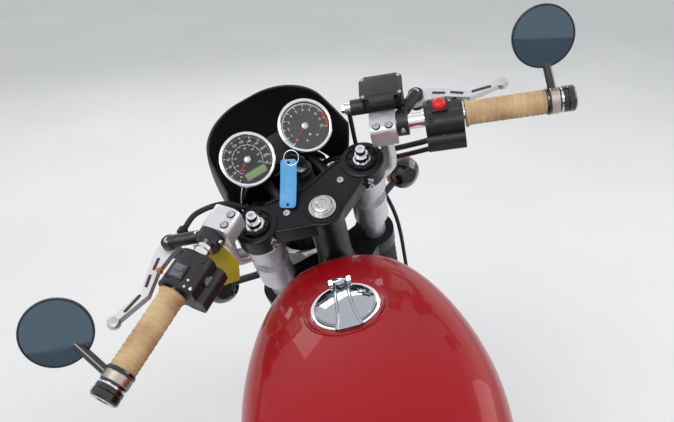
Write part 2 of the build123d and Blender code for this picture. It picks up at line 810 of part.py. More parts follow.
# Frame
shock_top = Vector(150, 141, 708)
shock_foot = Vector(45, 141, 350)
spine_start = (1172, 0, 809)
spine_end = (560, 0, 707)
rail_height = 722
rail_radius = 11
guard_stays = (300, 60)
cooler_x = 1140
case_half = 85
recess_depth = 15
tunnel_gap = 6
cradle_y = 108
tube_radius = 14
with BuildPart() as frame:
    rod(
        yoke_top + steer_up * (lower_yoke_top + 0.4),
        yoke_top + steer_up * (-yoke_thickness - 0.4),
        head_tube_radius,
    )
    rod(spine_start, spine_end, 22)
    for side in sides:
        tube(
            (
                (1180, side * 15, 802),
                (1010, side * 95, 330),
                (950, side * cradle_y, 212),
                (510, side * cradle_y, 200),
                (450, side * cradle_y, 330),
                (430, side * cradle_y, 640),
                (545, side * 60, 712),
            ),
            tube_radius,
            55,
        )
        rod((444, side * cradle_y, 440), (190, side * 116, 716), 10)
        rod(
            (pivot[0], side * 95, pivot[1]),
            (pivot[0], side * 122, pivot[1]),
            26,
        )
        rod((shock_top.X, side * 112, shock_top.Z), (shock_top.X, side * 155, shock_top.Z), 9)
        rear_face = case_half - recess_depth if side == 1 else case_half
        for x, face in ((938, case_half), (516, rear_face)):
            rod((x, side * (face + 0.4), 248), (x, side * (cradle_y - 4), 248), 12)
            rod((x, side * (cradle_y - 8), 250), (x, side * cradle_y, 206), 9)
        rod((430, side * 112, 372), (430, side * 130, 372), 14)
        rod((430, side * 112, 600), (430, side * 124, 600), 8)
    rail = ((560, 40, 714), (500, 112, 716), (150, 118, rail_height), (-70, 104, rail_height), (-140, 60, rail_height))
    tube(rail + tuple((x, -y, z) for x, y, z in reversed(rail)), rail_radius, 35)
    rod((560, -50, 712), (560, 50, 712), 16)
    rod((930, -cradle_y, 206), (930, cradle_y, 206), 12)
    for x in guard_stays:
        rod((x, -112, rail_height), (x, 112, rail_height), 9)
    for side in sides:
        rod((1100, side * 49, 590), (cooler_x - 0.4, side * 49, 590), 6)
    spine_rise = Vector(spine_end[2] - spine_start[2], 0, spine_start[0] - spine_end[0]).normalized()
    for share in (0.24, 0.76):
        saddle = Vector(*spine_start) * share + Vector(*spine_end) * (1 - share)
        rod(saddle + spine_rise * 15, saddle + spine_rise * (22 + tunnel_gap * spine_rise.Z - 0.3), 14)
    rod(stand_pivot - stand_axis * 25, stand_pivot - stand_axis * (stand_boss_half + seat_gap), 16)
    stand_rise = (Vector(0, 0, 1) - stand_axis * stand_axis.Z).normalized()
    rod((640, cradle_y, 198), (640, 79, 198), 8)
    rod((640, 80, 200), stand_pivot - stand_axis * 25 + stand_rise * 2, 7)
    rod(
        yoke_top + steer_up * (lower_yoke_top - 1),
        yoke_top + steer_up * (1 - yoke_thickness),
        head_tube_radius - 5,
        mode=Mode.SUBTRACT,
    )
    for side in sides:
        rod((pivot[0], side * 90, pivot[1]), (pivot[0], side * 130, pivot[1]), 8.3, mode=Mode.SUBTRACT)
frame.part.label = "frame"

# Swingarm and rear suspension
arm_y = 112
with BuildPart() as swingarm:
    rod((pivot[0], -93.5, pivot[1]), (pivot[0], 93.5, pivot[1]), 26)
    for side in sides:
        with BuildLine() as route:
            FilletPolyline(
                (pivot[0], side * 78, pivot[1]),
                (405, side * 79, 329),
                (330, side * arm_y, 328),
                (-42, side * arm_y, rear_tyre_radius),
                radius=30,
            )
        with BuildSketch(Plane(origin=route.line @ 0, x_dir=(0, 1, 0), z_dir=route.line % 0)) as section:
            RectangleRounded(28, 46, 6)
        sweep(section.sketch, path=route.line)
        rod((shock_foot.X, side * 100, shock_foot.Z), (shock_foot.X, side * 128.7, shock_foot.Z), 14)
        rod((shock_foot.X, side * 100, shock_foot.Z), (shock_foot.X, side * 155, shock_foot.Z), 5)
    rod((365, -105, 329), (365, 105, 329), 20)
    lathe((pivot[0], 0, pivot[1]), (0, 1, 0), ((-134, 14), (-122.4, 14), (-122.4, 8), (122.4, 8), (122.4, 14), (134, 14)))
    rod((0, -140, rear_tyre_radius), (0, 140, rear_tyre_radius), axle_radius + tube_fit, mode=Mode.SUBTRACT)
swingarm.part.label = "swingarm"

with BuildPart() as rear_axle:
    lathe(
        rear_axle_point,
        (0, 1, 0),
        (
            (-142, 15),
            (-126.3, 15),
            (-126.3, axle_radius),
            (-97.7, axle_radius),
            (-97.7, 16),
            (-rear_hub_half - 0.5, 16),
            (-rear_hub_half - 0.5, axle_radius),
            (rear_hub_half + 0.5, axle_radius),
            (rear_hub_half + 0.5, 15),
            (97.7, 15),
            (97.7, axle_radius),
            (126.3, axle_radius),
            (126.3, 15),
            (142, 15),
        ),
    )
    rod(rear_axle_point - Vector(0, 150, 0), rear_axle_point + Vector(0, 150, 0), axle_bore_radius, mode=Mode.SUBTRACT)
rear_axle.part.label = "rear_axle"

with BuildPart() as rear_shocks:
    for side in sides:
        top = Vector(shock_top.X, side * shock_top.Y, shock_top.Z)
        foot = Vector(shock_foot.X, side * shock_foot.Y, shock_foot.Z)
        length = (top - foot).length
        coils = 9
        spring = [(8, 11.5), (58, 11.5), (60, 30), (70, 30)]
        coil_height = (length - 60 - 70) / coils
        for coil in range(coils):
            spring.append((70 + coil * coil_height, 22))
            spring.append((70 + (coil + 0.5) * coil_height, 29))
        spring.extend(((length - 60, 22), (length - 58, 30), (length - 48, 30), (length - 40, 20), (length - 8, 13)))
        lathe(foot, top - foot, spring)
        rod(foot - Vector(0, 12, 0), foot + Vector(0, 12, 0), 17)
        rod(top - Vector(0, 11, 0), top + Vector(0, 11, 0), 17)
        rod(top - Vector(0, 20, 0), top + Vector(0, 20, 0), 9 + tube_fit, mode=Mode.SUBTRACT)
        rod(foot - Vector(0, 20, 0), foot + Vector(0, 20, 0), 5 + tube_fit, mode=Mode.SUBTRACT)
rear_shocks.part.label = "rear_shocks"

# Engine
cylinder_x = 800
with BuildPart() as crankcase:
    with BuildSketch(Plane(origin=(0, case_half, 0), x_dir=(1, 0, 0), z_dir=(0, -1, 0))):
        with BuildLine():
            FilletPolyline(
                (492, 250),
                (560, 226),
                (925, 226),
                (962, 262),
                (962, 330),
                (900, 430),
                (690, 430),
                (640, 452),
                (520, 430),
                (492, 390),
                radius=14,
                close=True,
            )
        make_face()
    extrude(amount=2 * case_half)
    with BuildSketch(Plane.XY.offset(186)):
        with Locations((745, 0)):
            RectangleRounded(290, 140, 25)
    extrude(amount=45)
    with BuildSketch(Plane(origin=(0, case_half - recess_depth, 0), x_dir=(1, 0, 0), z_dir=(0, -1, 0))) as recess:
        with Locations((540, 340)):
            Rectangle(128, 240)
    extrude(recess.sketch, amount=-20, mode=Mode.SUBTRACT)
    rod((output_shaft[0], 60, output_shaft[1]), (output_shaft[0], 92, output_shaft[1]), 12)
    drum_half = plate_offset - seat_gap
    rod(
        (output_shaft[0], chain_line - drum_half, output_shaft[1]),
        (output_shaft[0], chain_line + drum_half, output_shaft[1]),
        front_pitch_radius - 5.5,
    )
crankcase.part.label = "crankcase"

with BuildPart() as engine_covers:
    with BuildSketch(Plane(origin=(0, -case_half - seat_gap, 0), x_dir=(1, 0, 0), z_dir=(0, -1, 0))) as clutch:
        with BuildLine():
            CenterArc((650, 335), 92, 0, 360)
            CenterArc((820, 345), 66, 0, 360)
        make_hull()
    extrude(clutch.sketch, amount=52, taper=6)
    rod((650, -case_half - 40, 335), (650, -case_half - 66, 335), 70)
    with BuildSketch(Plane(origin=(0, case_half + seat_gap, 0), x_dir=(-1, 0, 0), z_dir=(0, 1, 0))) as alternator:
        with Locations((-820, 345)):
            Circle(74)
    extrude(alternator.sketch, amount=50, taper=6)
    with BuildSketch(Plane(origin=(0, 97, 0), x_dir=(-1, 0, 0), z_dir=(0, 1, 0))) as sprocket_side:
        with BuildLine():
            CenterArc((-545, 335), 62, 0, 360)
            CenterArc((-690, 330), 50, 0, 360)
        make_hull()
    extrude(sprocket_side.sketch, amount=22, taper=5)
    with BuildSketch(Plane(origin=(0, case_half + seat_gap, 0), x_dir=(-1, 0, 0), z_dir=(0, 1, 0))) as foot:
        with Locations((-660, 330)):
            Rectangle(90, 60)
    extrude(foot.sketch, amount=14)
engine_covers.part.label = "engine_covers"

with BuildPart() as cylinders:
    with BuildSketch(Plane.XY.offset(430 + seat_gap)):
        with Locations((cylinder_x, 0)):
            RectangleRounded(116, 230, 40)
    extrude(amount=150 - seat_gap)
    for index in range(10):
        with BuildSketch(Plane.XY.offset(442 + index * 14)) as fin:
            with Locations((cylinder_x, 0)):
                RectangleRounded(158, 268, 34)
        extrude(fin.sketch, amount=4)
cylinders.part.label = "cylinders"

with BuildPart() as cylinder_head:
    with BuildSketch(Plane.XY.offset(580 + seat_gap)):
        with Locations((cylinder_x, 0)):
            RectangleRounded(128, 236, 30)
    extrude(amount=80)
    for index in range(5):
        with BuildSketch(Plane.XY.offset(588 + index * 14)) as fin:
            with Locations((cylinder_x, 0)):
                RectangleRounded(168, 276, 30)
        extrude(fin.sketch, amount=4)
cylinder_head.part.label = "cylinder_head"

with BuildPart() as cam_cover:
    with BuildSketch(Plane.XY.offset(660 + 2 * seat_gap)) as gasket:
        with Locations((cylinder_x, 0)):
            RectangleRounded(150, 250, 20)
    extrude(gasket.sketch, amount=8)
    for x in (cylinder_x - 36, cylinder_x + 36):
        rod((x, -118, 672), (x, 118, 672), 26)
    split(bisect_by=Plane.XY.offset(660 + 2 * seat_gap), keep=Keep.TOP)
cam_cover.part.label = "cam_cover"

with BuildPart() as throttle_bodies:
    for side in sides:
        lathe(
            (cylinder_x - 84 - seat_gap, side * 60, 626),
            (-1, 0, 0),
            ((0, 26), (20, 26), (24, 32), (52, 32), (56, 25), (80, 25)),
        )
        rod((cylinder_x - 122, side * 60, 626), (cylinder_x - 122, side * 60, 684), 22)
throttle_bodies.part.label = "throttle_bodies"

with BuildPart() as airbox:
    with BuildSketch(Plane.XY.offset(560)) as case_outline:
        with Locations((555, 0)):
            RectangleRounded(160.4, 116, 22)
    extrude(case_outline.sketch, amount=112)
    with BuildSketch(Plane.XY.offset(592)) as plenum:
        with Locations((617, 0)):
            Rectangle(36.4, 176)
    extrude(plenum.sketch, amount=66)
airbox.part.label = "airbox"

with BuildPart() as side_panels:
    for side in sides:
        with BuildSketch(Plane(origin=(0, side * 124.3, 0), x_dir=(side * -1, 0, 0), z_dir=(0, side, 0))) as panel:
            with BuildLine():
                FilletPolyline(
                    *[(-side * x, z) for x, z in ((330, 696), (600, 700), (588, 560), (480, 478), (425, 490))],
                    radius=22,
                    close=True,
                )
            make_face()
        extrude(panel.sketch, amount=9, taper=25)
side_panels.part.label = "side_panels"

# Exhaust
pipe_radius = 19
silencer_front = (430, 165, 215)
silencer_rear = (-160, 200, 335)
silencer_run = (Vector(*silencer_rear) - Vector(*silencer_front)).normalized()
with BuildPart() as exhaust_pipes:
    for side in sides:
        tube(
            (
                (cylinder_x + 84 + seat_gap, side * 75, 622),
                (915, side * 75, 622),
                (968, side * 86, 604),
                (1012, side * 112, 500),
                (990, side * 132, 330),
                (900, side * 147, 184),
                (640, side * 153, 184),
                (
                    silencer_front[0] - 60 * silencer_run.X,
                    side * (silencer_front[1] - 60 * silencer_run.Y),
                    silencer_front[2] - 60 * silencer_run.Z,
                ),
                (
                    silencer_front[0] - seat_gap * silencer_run.X,
                    side * (silencer_front[1] - seat_gap * silencer_run.Y),
                    silencer_front[2] - seat_gap * silencer_run.Z,
                ),
            ),
            pipe_radius,
            (60, 50, 60, 60, 60, 60, 60),
        )
exhaust_pipes.part.label = "exhaust_pipes"

with BuildPart() as silencers:
    for side in sides:
        start = Vector(silencer_front[0], side * silencer_front[1], silencer_front[2])
        end = Vector(silencer_rear[0], side * silencer_rear[1], silencer_rear[2])
        length = (end - start).length
        lathe(
            start,
            end - start,
            (
                (0, 21),
                (60, 24),
                (length - 190, silencer_radius),
                (length - 90, silencer_radius),
                (length - 14, 27),
                (length, 25),
            ),
        )
        lathe(start, end - start, ((length - 60, 16), (length + 1, 16)), mode=Mode.SUBTRACT)
silencers.part.label = "silencers"

with BuildPart() as oil_cooler:
    cooler_plane = Plane(origin=(cooler_x, 0, 590), x_dir=(0, 1, 0), z_dir=(1, 0, 0))
    with BuildSketch(cooler_plane.offset(8)) as core:
        Rectangle(150, 70)
    extrude(core.sketch, amount=8)
    for row in range(9):
        with BuildSketch(cooler_plane.offset(2)) as fin:
            with Locations((0, -34 + row * 8.5)):
                Rectangle(160, 3)
        extrude(fin.sketch, amount=22)
    for side in sides:
        with BuildSketch(cooler_plane) as tank_end:
            with Locations((side * 84, 0)):
                RectangleRounded(16, 84, 5)
        extrude(tank_end.sketch, amount=28)
    with BuildSketch(cooler_plane) as back_plate:
        Rectangle(160, 20)
    extrude(back_plate.sketch, amount=3)
oil_cooler.part.label = "oil_cooler"

# Fuel tank sections: x, half width, bottom half width, bottom, widest height, top
tank_rows = (
    (575, 84, 70, 737, 775, 806),
    (660, 112, 92, 716, 790, 850),
    (800, 150, 128, 712, 800, 884),
    (930, 143, 122, 714, 802, 886),
    (1040, 104, 88, 730, 808, 874),
    (1088, 60, 52, 765, 815, 852),
)
tunnel_half = 46
with BuildPart() as fuel_tank:
    tank_sections = []
    for x, half, foot_half, bottom, widest, top in tank_rows:
        rise = top - widest
        with BuildSketch(Plane(origin=(x, 0, 0), x_dir=(0, 1, 0), z_dir=(1, 0, 0))) as ring:
            with BuildLine():
                Line((-foot_half, bottom), (foot_half, bottom))
                for side in sides:
                    middle = ((foot_half + half) / 2 * 1.04, (bottom + widest) / 2 - 4)
                    ThreePointArc((side * foot_half, bottom), (side * middle[0], middle[1]), (side * half, widest))
                    ThreePointArc(
                        (side * half, widest),
                        (side * half * 0.912, widest + rise * 0.532),
                        (side * half * 0.654, widest + rise * 0.844),
                    )
                ThreePointArc(
                    (half * 0.654, widest + rise * 0.844),
                    (0, top),
                    (-half * 0.654, widest + rise * 0.844),
                )
            make_face()
        tank_sections.append(ring.sketch)
    loft(tank_sections)
    slope = (spine_start[2] - spine_end[2]) / (spine_start[0] - spine_end[0])
    with BuildSketch(Plane(origin=(0, 0, 0), x_dir=(1, 0, 0), z_dir=(0, -1, 0))) as tunnel:
        with BuildLine():
            roof = spine_end[2] + 22 / spine_rise.Z + tunnel_gap
            Polyline(
                (560, 690),
                (560, roof),
                (1110, roof + slope * 550),
                (1110, 690),
                close=True,
            )
        make_face()
    extrude(tunnel.sketch, amount=tunnel_half, both=True, mode=Mode.SUBTRACT)
    rod((filler_x, 0, tank_top - 14), (filler_x, 0, tank_top + 20), 51, mode=Mode.SUBTRACT)
fuel_tank.part.label = "fuel_tank"

hinge = (filler_x + 45, tank_top + 1)
with BuildPart() as filler_ring:
    rod((filler_x, 0, tank_top - 13.7), (filler_x, 0, tank_top - 4), 50.5)
    rod((filler_x, 0, tank_top - 10.5), (filler_x, 0, tank_top), filler_radius + 1, mode=Mode.SUBTRACT)
    for side in sides:
        with BuildSketch(Plane.XY.offset(tank_top - 5)) as ear:
            with Locations((hinge[0] - 1, side * 12)):
                Rectangle(10, 5)
        extrude(ear.sketch, amount=10)
    rod((hinge[0], -14, hinge[1]), (hinge[0], 14, hinge[1]), 2)
filler_ring.part.label = "filler_ring"

with BuildPart() as fuel_cap_lid:
    lathe(
        (filler_x, 0, 0),
        (0, 0, 1),
        (
            (tank_top - 10, filler_radius),
            (tank_top - 3, filler_radius),
            (tank_top - 1, filler_radius - 3),
            (tank_top - 1, filler_radius - 8),
            (tank_top - 2.5, filler_radius - 10),
        ),
    )
    for side in sides:
        with BuildSketch(Plane.XY.offset(tank_top - 4)) as rib:
            with Locations((filler_x, side * 9)):
                Rectangle(56, 4)
        extrude(rib.sketch, amount=5)
    with BuildSketch(Plane.XY.offset(tank_top - 3.4)) as tongue:
        with Locations((filler_x + 38, 0)):
            Rectangle(14, 16)
    extrude(tongue.sketch, amount=7)
    rod((hinge[0], -8, hinge[1]), (hinge[0], 8, hinge[1]), 4.4)
    rod((hinge[0], -20, hinge[1]), (hinge[0], 20, hinge[1]), 2.3, mode=Mode.SUBTRACT)
fuel_cap_lid.part.label = "fuel_cap_lid"

# Seat and cowl
rail_top = 733
with BuildPart() as seat:
    with BuildSketch(Plane(origin=(0, 0, 0), x_dir=(1, 0, 0), z_dir=(0, -1, 0))) as profile:
        with BuildLine():
            FilletPolyline(
                (572, rail_top + 4),
                (572, 786),
                (430, 782),
                (250, 790),
                (100, 822),
                (100, rail_top + 0.5),
                (560, rail_top + 0.5),
                radius=[20, 60, 60, 12, 6],
            )
            Line((560, rail_top + 0.5), (572, rail_top + 4))
        make_face()
    extrude(profile.sketch, amount=120, both=True)
    with BuildSketch(Plane.XY.offset(rail_top - 5)) as outline:
        with BuildLine():
            FilletPolyline(
                (573, 76),
                (440, 100),
                (300, 118),
                (98, 116),
                (98, -116),
                (300, -118),
                (440, -100),
                (573, -76),
                radius=18,
                close=True,
            )
        make_face()
    extrude(outline.sketch, amount=120, mode=Mode.INTERSECT)
seat.part.label = "seat"

# Cowl sections: x, half width and top
cowl_rows = ((97, 114, 838), (10, 116, 872), (-110, 100, 856), (-205, 66, 800))
with BuildPart() as seat_cowl:
    cowl_sections = []
    for x, half, top in cowl_rows:
        with BuildSketch(Plane(origin=(x, 0, 0), x_dir=(0, 1, 0), z_dir=(1, 0, 0))) as ring:
            with BuildLine():
                Line((-half, rail_top + 0.5), (half, rail_top + 0.5))
                Line((half, rail_top + 0.5), (half, rail_top + 22))
                ThreePointArc(
                    (half, rail_top + 22),
                    (half * 0.72, top - (top - rail_top - 22) * 0.3),
                    (0, top),
                )
                ThreePointArc(
                    (0, top),
                    (-half * 0.72, top - (top - rail_top - 22) * 0.3),
                    (-half, rail_top + 22),
                )
                Line((-half, rail_top + 22), (-half, rail_top + 0.5))
            make_face()
        cowl_sections.append(ring.sketch)
    loft(cowl_sections)
seat_cowl.part.label = "seat_cowl"

# Rear mudguard and lamps
rear_guard_centre = rear_axle_point + Vector(0, 0, 30)
rear_guard_inner = 356
with BuildPart() as rear_mudguard:
    guard(rear_guard_centre, rear_guard_inner, 74, 34, 156)
    for x in guard_stays:
        top = rear_guard_centre.Z + sqrt((rear_guard_inner + 1) ** 2 - x**2)
        rod((x, 0, top), (x, 0, rail_height - 9 - seat_gap), 12)
rear_mudguard.part.label = "rear_mudguard"

with BuildPart() as tail_lamp:
    lathe((-296, 0, 600), (-1, 0, 0), ((0, 20), (6, 34), (30, 38), (40, 36), (45, 24)))
    rod((-270.9, 0, 600), (-298, 0, 600), 14)
tail_lamp.part.label = "tail_lamp"

with BuildPart() as rear_indicators:
    for side in sides:
        root = Vector(-262, side * 74.4, 560)
        tip = root + Vector(-6, side * 52, 0)
        rod(root, tip, 6)
        lathe(tip + Vector(22, 0, 0), (-1, 0, 0), ((0, 14), (10, 26), (30, 29), (36, 24)))
rear_indicators.part.label = "rear_indicators"

# Chain
front_centre = Vector(output_shaft[0], 0, output_shaft[1])
rear_centre = Vector(0, 0, rear_tyre_radius)
chain_run = rear_centre - front_centre
run_direction = chain_run.normalized()
run_across = Vector(-run_direction.Z, 0, run_direction.X)
cross_share = (front_pitch_radius - rear_pitch_radius) / chain_run.length
plate_half_height = 7.5
plate_thickness = 3


def chain_outline(offset):
    """The loop round both sprockets, moved out from the pitch line."""
    with BuildSketch(Plane(origin=(0, 0, 0), x_dir=(1, 0, 0), z_dir=(0, -1, 0)), mode=Mode.PRIVATE) as loop:
        with BuildLine():
            CenterArc((output_shaft[0], output_shaft[1]), front_pitch_radius + offset, 0, 360)
            CenterArc((0, rear_tyre_radius), rear_pitch_radius + offset, 0, 360)
        make_hull()
    return loop.sketch


with BuildPart() as chain:
    band = chain_outline(plate_half_height) - chain_outline(-plate_half_height)
    for y in (chain_line - plate_offset - plate_thickness, chain_line + plate_offset):
        extrude(band.moved(Location((0, y + plate_thickness, 0))), amount=plate_thickness)
    rollers = []
    for sign in sides:
        normal = run_direction * cross_share + run_across * (sign * sqrt(1 - cross_share**2))
        first = front_centre + normal * front_pitch_radius
        last = rear_centre + normal * rear_pitch_radius
        run = last - first
        for index in range(1, int(run.length / chain_pitch) - 3):
            spot = first + run.normalized() * (index * chain_pitch) + Vector(0, chain_line - plate_offset - 1, 0)
            rollers.append(Solid.make_cylinder(4.5, 2 * plate_offset + 2, Plane(origin=spot, z_dir=(0, 1, 0))))
    add(rollers)
chain.part.label = "chain"

with BuildPart() as chain_guard:
    with BuildSketch(Plane(origin=(0, 97.5, 0), x_dir=(1, 0, 0), z_dir=(0, -1, 0))) as shield:
        with BuildLine():
            Polyline((360, 412), (0, 450), (-70, 430), (-72, 434), (0, 454), (361, 416), close=True)
        make_face()
    extrude(shield.sketch, amount=24)
    with BuildSketch(Plane(origin=(0, 97.5, 0), x_dir=(1, 0, 0), z_dir=(0, -1, 0))) as skirt:
        with BuildLine():
            Polyline((360, 415), (0, 454), (-70, 432), (-40, 400), (60, 405), (340, 395), close=True)
        make_face()
    extrude(skirt.sketch, amount=2)
    for x in (300, 80):
        arm_top = rear_tyre_radius + 8 * (x + 42) / 372 + 23
        rod((x, 104.5, arm_top + 0.4), (x, 104.5, arm_top + 20), 6)
        rod((x, 98.5, 405), (x, 104.5, arm_top + 16), 5)
chain_guard.part.label = "chain_guard"

with BuildPart() as rear_caliper:
    rear_caliper_centre = polar(rear_axle_point, rear_disc_radius - 20, 50, 0) + Vector(0, rear_disc_y + disc_thickness / 2, 0)
    outward = (rear_caliper_centre - rear_axle_point - Vector(0, rear_disc_y + disc_thickness / 2, 0)).normalized()
    with BuildSketch(Plane(origin=rear_caliper_centre - Vector(0, 23, 0), x_dir=outward, z_dir=(0, 1, 0))) as body:
        RectangleRounded(56, 88, 14)
    extrude(body.sketch, amount=38)
    with BuildSketch(Plane(origin=rear_caliper_centre - Vector(0, 5, 0), x_dir=outward, z_dir=(0, 1, 0))) as slot:
        with Locations((-7, 0)):
            Rectangle(60, 110)
    extrude(slot.sketch, amount=10, mode=Mode.SUBTRACT)
    arm_top = rear_tyre_radius + 8 * (98 + 42) / 372 + 23
    rod((98, -105, arm_top + 0.4), (98, -105, 392), 6)
    rod((88, -96, 388), (98, -105, 388), 7)
rear_caliper.part.label = "rear_caliper"

with BuildPart() as footrests:
    for side in sides:
        with BuildSketch(Plane(origin=(0, side * 130.3, 0), x_dir=(-side, 0, 0), z_dir=(0, side, 0))) as plate:
            with BuildLine():
                FilletPolyline(
                    *[(-side * x, z) for x, z in ((455, 395), (370, 368), (372, 334), (410, 332), (452, 350))],
                    radius=10,
                    close=True,
                )
            make_face()
        extrude(plate.sketch, amount=8)
        rod((390, side * 136, 350), (390, side * 218, 352), 10)
        rod((430, side * 138, 372), (430, side * 152, 372), 10)
        rod((430, side * 147, 372), (524, side * 152, 336), 5.5)
        rod((524, side * 148, 336), (524, side * 186, 336), 7)
footrests.part.label = "footrests"

# Side stand, drawn where it stands
with BuildPart() as side_stand:
    rod(stand_pivot - stand_axis * stand_boss_half, stand_pivot + stand_axis * stand_boss_half, 15)
    rod(stand_pivot, stand_foot + ground_up * 5, 9)
    rod(stand_foot, stand_foot + ground_up * 6, 24)
side_stand.part.label = "side_stand"

# Every piece by the body that carries it
chassis_pieces = (
    frame,
    swingarm,
    rear_axle,
    rear_shocks,
    crankcase,
    engine_covers,
    cylinders,
    cylinder_head,
    cam_cover,
    throttle_bodies,
    airbox,
    side_panels,
    exhaust_pipes,
    silencers,
    oil_cooler,
    fuel_tank,
    filler_ring,
    seat,
    seat_cowl,
    rear_mudguard,
    tail_lamp,
    rear_indicators,
    chain,
    chain_guard,
    rear_caliper,
    footrests,
    fuel_cap_lid,
    side_stand,
    rear_tyre,
    rear_wheel,
    rear_disc,
    rear_sprocket,
)
steered_pieces = (
    top_yoke,
    lower_yoke,
    stem_nut,
    fork_tubes,
    fork_caps,
    fork_gaiters,
    fork_sliders,
    front_axle,
    front_mudguard,
    front_caliper,
    bar_risers,
    handlebars,
    grips,
    switch_blocks,
    levers,
    clutch_perch,
    master_cylinder,
    mirrors,
    gauges,
    ignition_switch,
    headlamp,
    headlamp_brackets,
    fly_screen,
    front_indicators,
    front_tyre,
    front_wheel,
    front_disc,
)
placed = []
for pieces, place in ((chassis_pieces, standing), (steered_pieces, standing * steering)):
    for piece in pieces:
        standing_piece = place * piece.part
        standing_piece.label = piece.part.label
        placed.append(standing_piece)

# The origin goes to the middle of the footprint's box
lows = [piece.bounding_box().min for piece in placed]
highs = [piece.bounding_box().max for piece in placed]
centre = Vector(
    -(min(low.X for low in lows) + max(high.X for high in highs)) / 2,
    -(min(low.Y for low in lows) + max(high.Y for high in highs)) / 2,
    -min(low.Z for low in lows),
)
for piece in placed:
    final = Location(centre) * piece
    final.label = piece.label
    export_step(final, f"parts/{final.label}.step")


def show(name, location, point, direction):
    """Prints a point and a direction in the finished frame."""
    spot = carried(Location(centre) * location, point)
    way = turned(location, direction)
    print(name, *(f"{value:.4f}" for value in (spot.X, spot.Y, spot.Z, way.X, way.Y, way.Z)))


show("axis rear_wheel", standing, rear_axle_point, Vector(0, 1, 0))
show("axis front_wheel", standing * steering, front_axle_point, Vector(0, 1, 0))
show("axis steering", standing * steering, Vector(0, 0, 0), Vector(0, 0, 1))
show("axis lid", standing, Vector(hinge[0], 0, hinge[1]), Vector(0, 1, 0))
show("axis stand", standing, stand_pivot, stand_axis)
print("stand swing", f"{stand_swing:.3f}", "pitch", f"{pitch:.4f}")
print("size", max(high.X for high in highs) - min(low.X for low in lows))
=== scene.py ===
"""Looks of the cafe racer motorcycle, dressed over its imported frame.

Local points are in millimetres, in two frames that are worked out from the joints:
the bike frame (x forward, y left, z up, origin on the ground under the rear axle, upright)
and the steering frame (origin on the steering axis at the top of the upper yoke, z along it).
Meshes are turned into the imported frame, in metres, as they are made.
"""

import json
import math

import bmesh
import bpy
from mathutils import Matrix, Vector
from mathutils.bvhtree import BVHTree


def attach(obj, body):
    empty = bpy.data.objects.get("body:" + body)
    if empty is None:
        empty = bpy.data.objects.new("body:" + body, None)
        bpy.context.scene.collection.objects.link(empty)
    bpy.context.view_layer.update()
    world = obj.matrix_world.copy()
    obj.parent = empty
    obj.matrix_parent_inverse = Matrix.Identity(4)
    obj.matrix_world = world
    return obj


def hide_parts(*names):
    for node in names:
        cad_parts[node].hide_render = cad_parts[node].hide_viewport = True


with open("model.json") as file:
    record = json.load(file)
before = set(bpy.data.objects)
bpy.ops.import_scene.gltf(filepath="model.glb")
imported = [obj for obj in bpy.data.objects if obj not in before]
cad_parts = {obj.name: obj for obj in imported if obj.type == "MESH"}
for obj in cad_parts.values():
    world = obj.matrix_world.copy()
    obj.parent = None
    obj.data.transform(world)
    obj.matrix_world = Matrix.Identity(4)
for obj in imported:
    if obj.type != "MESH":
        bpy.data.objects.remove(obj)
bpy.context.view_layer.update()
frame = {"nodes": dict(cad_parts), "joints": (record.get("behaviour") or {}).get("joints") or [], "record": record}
nodes = frame["nodes"]
joints = {joint["name"]: joint for joint in frame["joints"]}

MM = 0.001
TAU = 2 * math.pi
SIDES = (1, -1)
REAR_AXLE_HEIGHT = 320


def frame_matrix(origin, x_axis, y_axis, z_axis):
    """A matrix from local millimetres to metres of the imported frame."""
    columns = Matrix((x_axis, y_axis, z_axis)).transposed() * MM
    matrix = columns.to_4x4()
    matrix.translation = origin
    return matrix


def joint_point(name):
    return Vector(joints[name]["pos_m"])


def joint_axis(name):
    return Vector(joints[name]["axis"]).normalized()


bike_y = joint_axis("rear_wheel_spin")
bike_x = Vector((-bike_y.z, 0, bike_y.x)).normalized()
bike_z = bike_x.cross(bike_y)
ground = joint_point("rear_wheel_spin") - bike_z * REAR_AXLE_HEIGHT * MM
BIKE = frame_matrix(ground, bike_x, bike_y, bike_z)
steer_z = joint_axis("steering_turn")
steer_y = joint_axis("front_wheel_spin")
steer_x = steer_y.cross(steer_z)
STEER = frame_matrix(joint_point("steering_turn"), steer_x, steer_y, steer_z)


# Materials


def colour(red, green, blue):
    """A colour given in display values of 0 to 255, as linear light."""
    linear = []
    for value in (red, green, blue):
        share = value / 255
        linear.append(share / 12.92 if share <= 0.04045 else ((share + 0.055) / 1.055) ** 2.4)
    return (*linear, 1)


def set_inputs(node, **values):
    """Sets inputs of a node. The names are theirs, in small letters and joined."""
    for name, value in values.items():
        label = name.replace("_", " ").title().replace("Ior", "IOR")
        node.inputs[label].default_value = value


